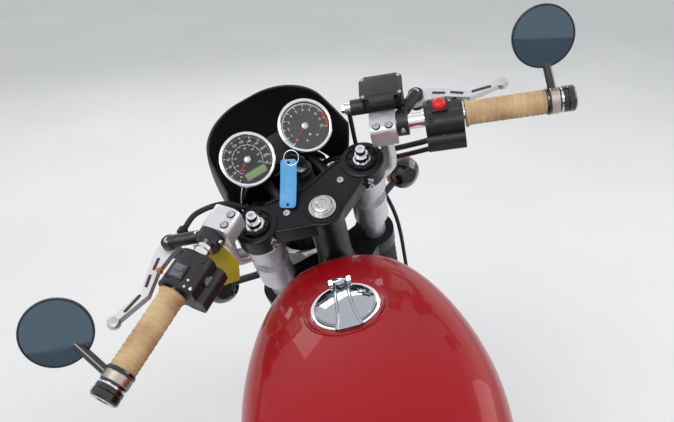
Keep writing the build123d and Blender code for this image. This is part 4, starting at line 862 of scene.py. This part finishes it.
add_prism(housing, rounded_outline(22, 26, 5), -0.5, 3.0, bar_top(-1, 82, 1, BLOCK_TOP), 1.0)
piece("switch_housings", housing, "black_plastic", 40)
rocker = bmesh.new()
add_prism(rocker, [(8.5, 9.6), (-8.5, 7.8), (-8.5, -9.2), (8.5, -10)], 2.4, 3.4, dip, 0.3, 1)
wedge = dip @ Matrix.Translation((0, -3.4, 4.2)) @ Matrix.Rotation(math.radians(12), 4, "X")
add_block(rocker, (14, 9, 3.2), wedge, 0.9)
quarter_back = Matrix.Rotation(-TAU / 4, 4, "Y")
indicator = bar_top(1, 84, -30, 2) @ quarter_back
add_turned(rocker, ((0, 5), (2.5, 5), (3.4, 4.2), (3.4, 0)), indicator, 28)
add_block(rocker, (6, 14, 4), indicator @ Matrix.Translation((0, 0, 4.6)), 1.4)
starter = bar_top(-1, 84, -30, -8) @ quarter_back
add_turned(rocker, ((0, 7), (3.6, 7), (5, 6), (5.4, 0)), starter, 32)
piece("switch_rockers", rocker, "black_plastic", 40, "switch_grey")
kill = bmesh.new()
kill_place = bar_top(-1, 82, 1, BLOCK_TOP + 2.6)
add_turned(kill, ((0, 9.6), (3, 9.7), (6, 9.0), (8.4, 7.0), (9.4, 4), (9.7, 0)), kill_place, 48)
for offset in (-5, -2.5, 0, 2.5, 5):
    reach = math.sqrt(8.6**2 - offset**2) * 0.8
    ridge = [(-reach, offset, 7.2), (0, offset, 9.6 - abs(offset) * 0.28), (reach, offset, 7.2)]
    add_tube(kill, smooth_path(ridge, 5), 0.7, 8)
piece("kill_switch", kill, "black_plastic", 40, "switch_red")
marks = bmesh.new()
DOT = ((-0.2, 1.7), (0.9, 1.6), (1.2, 1.1), (1.2, 0))
for along in (100.5, 110):
    add_turned(marks, DOT, bar_top(1, along, -20, BLOCK_TOP), 20)
for along, ahead in ((96, 9), (97.5, -6)):
    place = bar_top(-1, along, ahead, BLOCK_TOP)
    add_prism(marks, rounded_outline(2.2, 4.4, 0.9, 3), -0.1, 0.35, place)
add_arc(marks, bar_top(-1, 97.5, 1.5, BLOCK_TOP), (0, 359), 1.6, 2.1, -0.1, 25)
piece("switch_marks", marks, "black_plastic", 40, "switch_white")
control_bolts = bmesh.new()
button = ((-0.2, 2.6), (1.6, 2.5), (2.2, 1.6), (2.2, 0))
add_turned(control_bolts, button, bar_top(1, 109, -28, BLOCK_TOP - 3), 20)
for side in SIDES:
    for ahead in (1, -1):
        way = bar_point(side, 28, ahead * 40, 6) - bar_point(side, 28, 0, 6)
        place = axis_place(bar_point(side, 28, ahead * 19, 6), way)
        add_socket_bolt(control_bolts, place, 3.6, 3)
    add_socket_bolt(control_bolts, bar_top(side, 50, 52, 2.4), 5.5, 4)
piece("control_bolts", control_bolts, "steel", 35)
KNOB = ((-2, 4), (4, 4), (5.2, 3), (5.2, 0))
places = [bar_top(1, 92, 41, -6)]
turned_piece("lever_span_adjuster", "black_plastic", 40, KNOB, places, 24, look="amber_lens")

# Dark slots in the levers, and their round tips
webs = bmesh.new()
for side in SIDES:
    for along, ahead, length, turn in ((84, 52.5, 20, -12), (110, 47.5, 20, -17), (146, 47.5, 30, 10)):
        spin = Matrix.Rotation(side * math.radians(90 - turn), 4, "Z")
        place = bar_top(side, along, ahead, -6) @ spin
        add_prism(webs, rounded_outline(length, 4.5, 2.2, 4), -0.2, 0.35, place)
piece("lever_slots", webs, "gloss_black", 40)
LEVER_TIP = ((-16.2, 6), (-15.6, 8), (-12, 9), (-10, 9), (-6.4, 8), (-5.8, 6), (-5.8, 0))
places = [bar_top(side, 177, 56.5) for side in SIDES]
turned_piece("lever_tips", "alloy", 50, LEVER_TIP, places, 32)

# Brake fluid cup, its lid, the hose bolt and the clutch cable's adjuster
cup = bmesh.new()
cup_place = bar_top(-1, 3, 38, 0)
for length, width, corner, low, high, bevel in (
    (43, 63, 8.5, 36.5, 42.6, 1.6),
    (34, 54, 6, 42.4, 43.4, 0.5),
    (41, 61, 8.2, 33.4, 35.2, 0.6),
):
    add_prism(cup, rounded_outline(length, width, corner), low, high, cup_place, bevel)
piece("fluid_cup_lid", cup, "gloss_black", 40)
screws = bmesh.new()
for x, y in ((-16.5, -26.5), (16.5, 26.5), (-16.5, 26.5), (16.5, -26.5)):
    add_socket_bolt(screws, cup_place @ Matrix.Translation((x, y, 42.4)), 2.6, 1.2)
banjo_foot = bar_point(-1, -46, 34, 10)
banjo = axis_place(banjo_foot, bar_point(-1, -60, 34, 10) - banjo_foot)
BANJO = (
    (-0.5, 9), (1.4, 9), (1.4, 8), (8, 8), (8, 9), (9.4, 9), (9.4, 6.4, 6), (14, 6.4, 6), (15, 5),
    (15, 0),
)
add_turned(screws, BANJO, banjo, 36)
piece("brake_fittings", screws, "steel", 30)
CLUTCH_SCREW = ((0, 4.5), (9, 4.5), (9, 7, 8), (18, 7, 8), (18, 4.5), (22, 4.2), (22, 0))
screw_foot = bar_point(1, 42, 44)
places = [axis_place(screw_foot, bar_point(1, 20, 44) - screw_foot)]
turned_piece("clutch_adjuster", "yoke_black", 30, CLUTCH_SCREW, places, 40)

# Cables and hose
LAMP_CENTRE = Vector((104.15, 0, -126.0))
LEVEL_FRONT = Vector((0.891, 0, -0.454))
LEVEL_UP = Vector((0.454, 0, 0.891))
BOWL_DEPTH = 17.9
BOWL_RADIUS = 73.7
BOWL_SLOPE = 0.64
BLOCK_FOOT = -31


def bowl_point(degrees, out):
    """A point off the headlamp's bowl, by its angle from the top towards the left."""
    turn = math.radians(degrees)
    radial = LEVEL_UP * math.cos(turn) + Vector((0, math.sin(turn), 0))
    normal = (radial - LEVEL_FRONT * BOWL_SLOPE).normalized()
    return LAMP_CENTRE - LEVEL_FRONT * BOWL_DEPTH + radial * BOWL_RADIUS + normal * out


# The clutch cable, the wires of both switch blocks, the throttle cable and the brake hose
CABLES = (
    (
        4, bar_point(1, 22, 44), (74, 156, 46), (80, 117, 26), (76, 86, -10), bowl_point(45, 25),
        bowl_point(45, 0),
    ),
    (
        4, bar_point(1, 90, 0, -24), (8, 196, 8), (44, 168, 4), (66, 122, 2), (60, 70, -46),
        bowl_point(20, 12),
    ),
    (
        4.5, bar_point(-1, 66, -12, BLOCK_FOOT), (14, -186, -10), (60, -142, -42), (90, -98, -48),
        bowl_point(-45, 25), bowl_point(-45, 0),
    ),
    (
        4, bar_point(-1, 92, -12, BLOCK_FOOT), (-4, -204, -16), (52, -152, -60), (80, -116, -72),
        bowl_point(-66, 22), bowl_point(-66, 0),
    ),
    (
        3.5, bar_point(-1, -51, 34, 4), (90, -114, 20), (93, -117, -40), (88, -122, -95),
        (62, -137, -150), (34, -142, -215), (20, -141, -320), (0, -130, -430), (-13, -98, -515),
        (-13, -62, -578),
    ),
)
cables = bmesh.new()
for radius, *points in CABLES:
    add_tube(cables, smooth_path(points, 12), radius, 14)
piece("control_cables", cables, "rubber", 60)

# Bar ends, mirror bands and the black rings beside the grips
END_WEIGHT = (
    (247.8, 12), (247.8, 14.6), (250, 14.6), (251, 18.2), (256, 18.5), (257, 17.6), (258, 18.5),
    (265, 18.5), (267.4, 16.4), (267.6, 8, 6), (263, 8, 6), (263, 0),
)
GRIP_RING = ((228.5, 12), (228.5, 18.6), (230, 19.4), (232, 19.4), (233, 18.4), (233, 12))
MIRROR_BAND = ((234, 12), (234, 18.4), (234.6, 18.8), (244.6, 18.8), (245.2, 18.4), (245.2, 12))
ends = bmesh.new()
places = [bar_place(side, 0) for side in SIDES]
for place in places:
    add_turned(ends, END_WEIGHT, place, 60)
    add_turned(ends, GRIP_RING, place, 60, closed=True)
piece("bar_end_weights", ends, "gloss_black", 30)
turned_piece("mirror_bands", "satin_silver", 30, MIRROR_BAND, places, 60, True, "clamp_bronze")


# Key ring and the two blank tags

wires = bmesh.new()
ring_place = axis_place((79, -2, 38), (-0.5, 0.35, 0.79))
for lift in (-0.7, 0.7):
    add_tube(wires, circle(ring_place, 11, 48, lift), 0.8, 8, closed=True)
piece("key_ring", wires, "chrome", 60)
TAG_TOP = Vector((81, 2, 36))
TAG_FOOT = Vector((30, 41.5, 3.4))
TAG_SIDE = Vector((0.66, 0.75, 0))
TAG_SAG = 2.2
# Along the tag: share of its length, and width there
TAG_ROWS = (
    (0, 0.72),
    (0.02, 0.9),
    *((share, 1) for share in (0.06, 0.15, 0.27, 0.4, 0.52, 0.64, 0.76, 0.86, 0.94)),
    (0.98, 0.9),
    (1, 0.72),
)


def tag_point(share):
    return TAG_TOP.lerp(TAG_FOOT, share) - Vector((0, 0, TAG_SAG * math.sin(math.pi * share)))


tag = bmesh.new()
tag_path = [tag_point(share) for share, width in TAG_ROWS]
tag_widths = [width for share, width in TAG_ROWS]
add_swept(tag, tag_path, rounded_outline(25, 1.4, 0.6, 3), TAG_SIDE, tag_widths)
piece("key_tag", tag, "black_plastic", 50, "tag_blue")
LOCK = ((11, 10.4), (12.8, 10.2), (13.2, 9.2), (13.2, 0))
turned_piece("ignition_lock", "steel", 40, LOCK, [Matrix.Translation((76, -10, 0))], 40)
EYELET = ((0.4, 2.4), (1.5, 2.2), (1.6, 0))
tag_out = TAG_SIDE.cross(TAG_FOOT - TAG_TOP)
places = [axis_place(tag_point(share), tag_out) for share in (0.07, 0.93)]
turned_piece("tag_eyelets", "rubber", 40, EYELET, places, 20)

LABEL_CORNERS = (
    (26.6, 172.7, 20.5), (22.4, 151, 28.2), (0.8, 142.4, -5.4),
    (-9, 154.2, -32.1), (4.3, 193.2, -35.2), (15.7, 194.3, -14.8),
)
LABEL = [Vector(corner) for corner in LABEL_CORNERS]
LABEL_HOLE = Vector((20.5, 156.4, 21.0))
label_middle = sum(LABEL, Vector()) / len(LABEL)
label_normal = (LABEL[1] - LABEL[0]).cross(LABEL[3] - LABEL[1]).normalized()
label_place = axis_place(label_middle, label_normal, LABEL[1] - LABEL[4])
to_label = label_place.inverted()
label = bmesh.new()
flat_label = [tuple((to_label @ corner).xy) for corner in LABEL]
add_prism(label, flat_label, -0.35, 0.35, label_place, 0.25, 1)
piece("service_label", label, "black_plastic", 50, "tag_yellow")
label_wire = bmesh.new()
WIRE_RADIUS = 12.2
loop_place = bar_place(1, 45)
turns = [math.radians(degrees) for degrees in (150, 200, 250, 300, 350)]
loop = [loop_place @ Vector((WIRE_RADIUS * math.cos(a), WIRE_RADIUS * math.sin(a), 0)) for a in turns]
add_tube(label_wire, smooth_path(loop + [LABEL_HOLE], 8, closed=True), 0.8, 8, closed=True)
piece("label_wire", label_wire, "steel", 60)


# Fuel tank: a lip round the filler recess, a seal, and the cap's dome, strap and tongue

FILLER_X = 930
TANK_TOP = 889
LIP_RADIUS = 52
to_bike = BIKE.inverted()
tank = nodes["fuel_tank"].data
tank_points = [to_bike @ vertex.co for vertex in tank.vertices]
tank_tree = BVHTree.FromPolygons(tank_points, [list(face.vertices) for face in tank.polygons])
cap_place = Matrix.Translation((FILLER_X, 0, TANK_TOP))
over_lip = circle(cap_place, LIP_RADIUS, 72, 60)
lip_points = [tank_tree.ray_cast(over, Vector((0, 0, -1)))[0] for over in over_lip]
lip = bmesh.new()
add_tube(lip, lip_points, 1.8, 12, closed=True)
DISH = ((-6, 44.2), (-3.7, 44.2), (-3.4, 47), (-1.8, 50.3), (-6, 50.4))
add_turned(lip, DISH, cap_place, 96, closed=True)
piece("filler_dish", lip, "red_paint", 60, body="chassis")
SEAL = ((-6, 39.4), (-2.4, 39.4), (-1.6, 40.4), (-1.6, 43), (-2.6, 44), (-6, 44))
turned_piece("filler_seal", "chrome", 40, SEAL, [cap_place], 96, True, body="chassis")

cap = bmesh.new()
DOME = ((-6, 38.4), (-1.4, 38.6), (1.2, 37.4), (3, 33), (5.2, 25), (6.8, 15), (7.6, 6), (7.8, 0))
add_turned(cap, DOME, cap_place, 96)
# Along the strap: distance ahead of the middle, height and half width
STRAP_ROWS = (
    (41, 4.0, 6.5), (34, 6.0, 7.2), (20, 9.0, 8.0), (4, 10.4, 8.6), (-12, 10.2, 9.2),
    (-26, 8.0, 10.2), (-36, 5.0, 12.0), (-43, 2.8, 14.5), (-47, 1.6, 15.2),
)
for side in SIDES:
    ridge = smooth_path([(x, side * half, height) for x, height, half in STRAP_ROWS], 5)
    add_tube(cap, [cap_place @ point for point in ridge], 2.3, 12)
strap = smooth_path([(x, half, height - 0.6) for x, height, half in STRAP_ROWS], 5)
add_swept(
    cap,
    [cap_place @ Vector((point.x, 0, point.z)) for point in strap],
    rounded_outline(20, 2.6, 0.8, 3),
    (0, 1, 0),
    [point.y / 10 for point in strap],
)
TONGUE = ((32, 0), (36, 7.6), (43.5, 8.4), (47, 4), (44.5, 0), (47, -4), (43.5, -8.4), (36, -7.6))
tongue = smooth_path([(x, y, 0) for x, y in TONGUE], 5, closed=True)
add_prism(cap, [(point.x, point.y) for point in tongue], 1, 7.4, cap_place, 1.0)
# The cap's dome takes the chrome darkened as a painted darker reflection
piece("cap_dome", cap, "chrome", 40, "cap_chrome", body="cap_lid")


# Lamps and lenses

lamp_axis = axis_place(LAMP_CENTRE, LEVEL_FRONT)
REFLECTOR = ((48.5, 87), (54.4, 87.6), (60.4, 60.2), (62.4, 20), (62.5, 0))
turned_piece("headlamp_reflector", "chrome", 60, REFLECTOR, [lamp_axis], 96)
# The headlamp's glass, with ribs that follow its bulge
GLASS_REACH = 80
GLASS_TOP = 66.6
GLASS_BULGE = 0.00105
glass_skin = bmesh.new()
add_turned(glass_skin, ((54.5, 88.4), (58, 84), (63, 62), (65.6, 30), (66.4, 0)), lamp_axis, 96)
for offset in range(-70, 71, 14):
    reach = math.sqrt(GLASS_REACH**2 - offset**2)
    rib = []
    for x in (-reach, -reach / 2, 0, reach / 2, reach):
        height = GLASS_TOP - (x * x + offset * offset) * GLASS_BULGE
        rib.append(lamp_axis @ Vector((x, offset, height)))
    add_tube(glass_skin, smooth_path(rib, 5), 0.8, 6)
piece("headlamp_glass", glass_skin, "gloss_black", 60, "lamp_glass")
LAMP_RIM = (
    (32, 92), (33, 95.4), (35, 96.4), (47, 96.4), (52, 94.6), (55.6, 90.6), (56.4, 88.4),
    (55.4, 87.4), (52, 88),
)
turned_piece("headlamp_rim", "chrome", 50, LAMP_RIM, [lamp_axis], 96, True)

LENS_OUTLINE = (
    (15, 25.8), (16, 27.4), (22, 28.6), (30, 29.8), (34, 28), (37, 24.6), (38.4, 14), (38.8, 0),
)
BODY_OUTLINE = ((-0.6, 13), (0, 14.6), (9, 25.4), (10.4, 26.8), (14.6, 27.6), (14.6, 20))
# The front indicators stand on stalks from the fork legs
STALK_HEIGHT = -138
STALK_LENGTH = 93.4
LAMP_BACK = 22
front_places = []
rear_places = []
for side in SIDES:
    stalk = Vector((0.32, side * 0.947, 0)).normalized()
    tip = Vector((LEG_X, side * LEG_Y, STALK_HEIGHT)) + stalk * STALK_LENGTH
    front_places.append(axis_place(tip - LEVEL_FRONT * LAMP_BACK, LEVEL_FRONT))
    rear_places.append(axis_place((-246, side * 126.4, 560), (-1, 0, 0)))
for end, body, places in (("front", "steering", front_places), ("rear", "chassis", rear_places)):
    for part, outline, look in (("lenses", LENS_OUTLINE, "amber_lens"), ("bodies", BODY_OUTLINE, None)):
        name = f"{end}_indicator_{part}"
        turned_piece(name, "gloss_black", 50, outline, places, look=look, body=body)
tail = axis_place((-296, 0, 600), (-1, 0, 0))
TAIL_RIM = ((5, 34), (6, 35), (24, 38.6), (31, 39.4), (33, 38.8), (33, 36))
turned_piece("tail_lamp_rim", "chrome", 50, TAIL_RIM, [tail], 64, True, body="chassis")
tail_lens = bmesh.new()
TAIL_LENS = ((32, 37.6), (36, 38), (41, 36.6), (45.6, 30), (46.6, 26), (47.4, 12), (47.6, 0))
add_turned(tail_lens, TAIL_LENS, tail, 64)
for radius in (10, 18, 26):
    add_tube(tail_lens, circle(tail, radius, 48, 47.7 - radius * 0.045), 0.9, 6, closed=True)
piece("tail_lamp_lens", tail_lens, "red_lens", 50, body="chassis")


# Tyres with their tread cut in

TREAD_DEPTH = 3.2
TREAD_PITCHES = 60
STEPS_PER_PITCH = 8
CROWN_STEPS = 96
CROWN_ARC = math.radians(60)
# Grooves round the tyre: share of the half crown and half width there
GROOVES = ((0.2, 0.028), (0.52, 0.026))
# Cuts across it: from and to which share, part of a pitch and how deep
CUTS = ((0.24, 0.48, 0.13, 0.9), (0.56, 0.92, 0.17, 0.8))
WALL_RISE = 16


def tread_cut(angle, share):
    """How deep the tread is at an angle round the tyre and a share of its half crown."""
    wave = 0.03 * math.sin(angle * TREAD_PITCHES)
    across = abs(share)
    if any(abs(across - middle - wave) < half for middle, half in GROOVES):
        return 1
    offset = 0 if share > 0 else 0.5
    phase = (angle * TREAD_PITCHES / TAU + offset + 0.9 * across) % 1
    for start, end, width, depth in CUTS:
        if start < across < end and phase < width:
            return depth
    return 0


def add_tyre(name, body, node, centre, radius, width, bead_radius, bead_half):
    """A tyre as wide and as tall as its solid, over the same arcs."""
    crown = width / 2
    profile = []
    for index in range(CROWN_STEPS + 1):
        share = -1 + 2 * index / CROWN_STEPS
        turn = CROWN_ARC * share
        profile.append((crown * math.sin(turn), radius - crown * (1 - math.cos(turn)), share))
    edge_half, edge_radius = profile[-1][:2]
    wall_top = radius - crown
    wall_foot = bead_radius + WALL_RISE
    wall = (
        (edge_half, edge_radius, 0),
        (crown * 0.985, radius - crown * 0.78, 0),
        (crown, wall_top, 0),
        (crown * 0.95, (wall_top + wall_foot) / 2, 0),
        (bead_half, wall_foot, 0),
        (bead_half, bead_radius + 0.4, 0),
    )
    wall = smooth_path(wall, 4)[1:]
    rows = [(-point.x, point.y, 1) for point in reversed(wall)]
    rows += profile + [(point.x, point.y, 1) for point in wall]
    segments = TREAD_PITCHES * STEPS_PER_PITCH
    bm = bmesh.new()
    loops = []
    for y, reach, share in rows:
        loop = []
        for index in range(segments):
            angle = TAU * index / segments
            size = reach - TREAD_DEPTH * tread_cut(angle, share)
            point = centre + Vector((size * math.cos(angle), y, size * math.sin(angle)))
            loop.append(bm.verts.new(point))
        loops.append(loop)
    join_loops(bm, loops, True)
    # Two raised lines on each wall: how far up it they are and how far out they stand
    for lift, out in ((0.30, 0.55), (0.62, 0.93)):
        reach = wall_foot + (wall_top - wall_foot) * lift
        for side in SIDES:
            middle = centre + Vector((0, side * (bead_half + (crown - bead_half) * out), 0))
            line = circle(axis_place(middle, (0, -1, 0), (1, 0, 0)), reach, 120)
            add_tube(bm, line, 1.2, 6, closed=True)
    made = piece(name, bm, "tyre", 40, body=body)
    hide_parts(node)


front_axle = STEER.inverted() @ joint_point("front_wheel_spin")
rear_axle = Vector((0, 0, REAR_AXLE_HEIGHT))
# Piece, body, node, centre, radius, width, radius and half width of the beads
TYRES = (
    ("front_tyre_treaded", "front_wheel", "front_tyre", front_axle, 318.5, 102, 229, 32),
    ("rear_tyre_treaded", "rear_wheel", "rear_tyre", rear_axle, 320, 130, 216, 50),
)
for row in TYRES:
    add_tyre(*row)


# Seat: a swollen pad with sewn channels

SEAT_BOTTOM = 733.6
SEAT_VOXEL = 6
SEAT_SWELL = 7
CLOTH_FRAMES = 20
CLOTH_PRESSURE = 4
RELAX_STEPS = 10
CHANNELS = range(180, 521, 42)
CHANNEL_DEPTH = 5.5
CHANNEL_HALF = 4.2
# Channels fade out towards the seat's sides
FADE_END = 105
FADE_WIDTH = 30


def evaluated_mesh(thing):
    """An object's mesh with its modifiers applied."""
    depsgraph = bpy.context.evaluated_depsgraph_get()
    return bpy.data.meshes.new_from_object(thing.evaluated_get(depsgraph))


def seat_mesh():
    """The seat's solid remeshed, swollen by a cloth simulation and sewn across."""
    pad = bpy.data.objects.new("seat_pad", nodes["seat"].data.copy())
    bpy.context.scene.collection.objects.link(pad)
    remesh = pad.modifiers.new("remesh", "REMESH")
    remesh.mode = "VOXEL"
    remesh.voxel_size = SEAT_VOXEL * MM
    relax = pad.modifiers.new("relax", "SMOOTH")
    relax.iterations = RELAX_STEPS
    mesh = evaluated_mesh(pad)
    pad.modifiers.clear()
    pad.data = mesh
    start = [vertex.co.copy() for vertex in mesh.vertices]
    cloth = pad.modifiers.new("cloth", "CLOTH")
    cloth.settings.use_pressure = True
    cloth.settings.uniform_pressure_force = CLOTH_PRESSURE
    cloth.settings.effector_weights.gravity = 0
    cloth.point_cache.frame_start = 1
    cloth.point_cache.frame_end = CLOTH_FRAMES
    scene = bpy.context.scene
    for number in range(1, CLOTH_FRAMES + 1):
        scene.frame_set(number)
    mesh = evaluated_mesh(pad)
    pad.modifiers.clear()
    pad.data = mesh
    scene.frame_set(1)
    for vertex, first in zip(mesh.vertices, start):
        move = vertex.co - first
        if move.length > SEAT_SWELL * MM:
            vertex.co = first + move.normalized() * SEAT_SWELL * MM
    normals = [to_bike.to_3x3() @ vertex.normal for vertex in mesh.vertices]
    for vertex, normal in zip(mesh.vertices, normals):
        point = to_bike @ vertex.co
        up = max(0, normal.normalized().z)
        sunk = sum(math.exp(-(((point.x - x) / CHANNEL_HALF) ** 2)) for x in CHANNELS)
        fade = min(1, max(0, (FADE_END - abs(point.y)) / FADE_WIDTH))
        point.z = max(point.z - CHANNEL_DEPTH * sunk * up * fade, SEAT_BOTTOM)
        vertex.co = BIKE @ point
    mesh.update()
    return pad


seat_pad = seat_mesh()
seat_pad.data.materials.clear()
seat_pad.data.materials.append(LOOKS["seat_leather"])
seat_pad.data.shade_smooth()
rounder = seat_pad.modifiers.new("rounder", "SUBSURF")
rounder.levels = 1
rounder.render_levels = 1
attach(seat_pad, "chassis")
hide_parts("seat")


# Engine fasteners, plug caps and leads

RIGHT = (0, -1, 0)
LEFT = (0, 1, 0)
CLUTCH_COVER = (650, -151, 335)
CRANK_X = 820
CRANK_Z = 345
ALTERNATOR_COVER = (CRANK_X, 135.3, CRANK_Z)
SPROCKET_COVER = (545, 119, 335)
PLUG_X = 800
CAM_COVER_TOP = 668
# Bolts round the covers: centre, facing, radius of the ring, count, size and first angle
BOLT_RINGS = (
    (CLUTCH_COVER, RIGHT, 61, 8, 5, 0),
    (ALTERNATOR_COVER, LEFT, 61, 7, 5, 0.3),
    (SPROCKET_COVER, LEFT, 48, 5, 4.5, 0.5),
)
engine_bolts = bmesh.new()
for centre, facing, radius, count, size, start in BOLT_RINGS:
    place = axis_place(centre, facing, (1, 0, 0))
    for index in range(count):
        turn = start + TAU * index / count
        where = Matrix.Translation((radius * math.cos(turn), radius * math.sin(turn), 0))
        add_socket_bolt(engine_bolts, place @ where, size, size)
# The right side's outer bolts stand on an arc ahead of the crankshaft
ARC_RADIUS = 53
ARC_Y = -137.3
for angle in (-70, -35, 0, 35, 70):
    turn = math.radians(angle)
    where = (CRANK_X + ARC_RADIUS * math.cos(turn), ARC_Y, CRANK_Z + ARC_RADIUS * math.sin(turn))
    add_socket_bolt(engine_bolts, axis_place(where, RIGHT), 4.5, 4.5)
for y in (-110, -56, 0, 56, 110):
    add_socket_bolt(engine_bolts, Matrix.Translation((PLUG_X, y, CAM_COVER_TOP)), 5, 5)
piece("engine_bolts", engine_bolts, "steel", 30, body="chassis")
PLUG_CAP = ((-1, 8.5), (6, 8.5), (8, 6.5), (18, 6.2), (20, 5), (20, 0))
# A lead's points: x, share of the plug's y, z
LEAD = (
    (800, 1, 684), (800, 1, 698), (790, 0.9, 704), (760, 0.7, 704), (728, 0.55, 702),
    (706, 0.5, 690),
)
leads = bmesh.new()
for y in (-84, -28, 28, 84):
    add_turned(leads, PLUG_CAP, Matrix.Translation((PLUG_X, y, CAM_COVER_TOP + 0.5)), 24)
    add_tube(leads, smooth_path([(x, y * share, z) for x, share, z in LEAD], 6), 3.2, 8)
piece("plug_leads", leads, "rubber", 50, body="chassis")
cover_rings = bmesh.new()
for centre, facing, radius, width in ((CLUTCH_COVER, RIGHT, 40, 7), (ALTERNATOR_COVER, LEFT, 46, 8)):
    inner = radius - width
    ring = ((0, radius), (2.2, radius), (3, radius - 3), (3, inner), (1.2, inner - 2), (1.2, 0))
    add_turned(cover_rings, ring, axis_place(centre, facing), 72)
piece("cover_rings", cover_rings, "alloy", 40, body="chassis")


# Stage, light and camera

FLOOR_REACH = 40
floor_finish = make_finish(
    "floor", colour(233, 233, 231), 0.8, mottle=(1.2, colour(228, 228, 226), 0.35, 0.7)
)
floor_mesh = bpy.data.meshes.new("floor")
corners = [(x * FLOOR_REACH, y * FLOOR_REACH, 0) for x, y in ((-1, -1), (1, -1), (1, 1), (-1, 1))]
floor_mesh.from_pydata(corners, [], [(0, 1, 2, 3)])
floor_mesh.materials.append(floor_finish.material)
floor = bpy.data.objects.new("floor", floor_mesh)
bpy.context.scene.collection.objects.link(floor)

world = bpy.data.worlds.new("studio")
bpy.context.scene.world = world
world.use_nodes = True
tree = world.node_tree
background = tree.nodes["Background"]
set_inputs(background, color=(0.62, 0.64, 0.67, 1), strength=0.95)
seen = tree.nodes.new("ShaderNodeBackground")
set_inputs(seen, color=(0.92, 0.92, 0.92, 1), strength=1.0)
rays = tree.nodes.new("ShaderNodeLightPath")
mix = tree.nodes.new("ShaderNodeMixShader")
shown = rays.outputs["Is Camera Ray"]
for kind in ("Is Glossy Ray", "Is Transmission Ray"):
    either = tree.nodes.new("ShaderNodeMath")
    either.operation = "MAXIMUM"
    tree.links.new(shown, either.inputs[0])
    tree.links.new(rays.outputs[kind], either.inputs[1])
    shown = either.outputs["Value"]
tree.links.new(shown, mix.inputs[0])
tree.links.new(background.outputs[0], mix.inputs[1])
tree.links.new(seen.outputs[0], mix.inputs[2])
tree.links.new(mix.outputs[0], tree.nodes["World Output"].inputs["Surface"])

# Soft boxes: name, place, aim, width, height, power in watts
SOFT_BOXES = (
    ("key_light", (-1.4, 1.6, 3.4), (0.2, 0, 0.8), 2.2, 1.6, 58),
    ("fill_light", (0.6, -3.0, 2.2), (0.2, 0, 0.7), 2.6, 1.8, 34),
    ("front_light", (3.6, 0.6, 2.4), (0.2, 0, 0.7), 2.4, 1.4, 28),
)
for name, place, aim, width, height, power in SOFT_BOXES:
    light = bpy.data.lights.new(name, "AREA")
    light.shape = "RECTANGLE"
    light.size = width
    light.size_y = height
    light.energy = power
    lamp = bpy.data.objects.new(name, light)
    lamp.location = place
    lamp.rotation_euler = (Vector(aim) - Vector(place)).to_track_quat("-Z", "Y").to_euler()
    bpy.context.scene.collection.objects.link(lamp)

# The camera stands where the photographer's did, and looks down over the bars
CAMERA_PLACE = (-0.414855, 0.059358, 1.344487)
CAMERA_YAW = math.radians(-6.356)
CAMERA_PITCH = math.radians(28.807)
CAMERA_ROLL = math.radians(1.279)
CAMERA_LENS = 33.89
level = Vector((math.cos(CAMERA_YAW), math.sin(CAMERA_YAW), 0))
ahead = level * math.cos(CAMERA_PITCH) - Vector((0, 0, math.sin(CAMERA_PITCH)))
right = Vector((math.sin(CAMERA_YAW), -math.cos(CAMERA_YAW), 0))
down = ahead.cross(right)
rolled_right = right * math.cos(CAMERA_ROLL) + down * math.sin(CAMERA_ROLL)
rolled_down = down * math.cos(CAMERA_ROLL) - right * math.sin(CAMERA_ROLL)
camera_data = bpy.data.cameras.new("camera")
camera_data.sensor_fit = "HORIZONTAL"
camera_data.sensor_width = 36
camera_data.lens = CAMERA_LENS
camera = bpy.data.objects.new("camera", camera_data)
turned = Matrix((rolled_right, -rolled_down, -ahead)).transposed().to_4x4()
camera.matrix_world = Matrix.Translation(CAMERA_PLACE) @ turned
bpy.context.scene.collection.objects.link(camera)
bpy.context.scene.camera = camera
bpy.context.scene.view_settings.view_transform = "Standard"
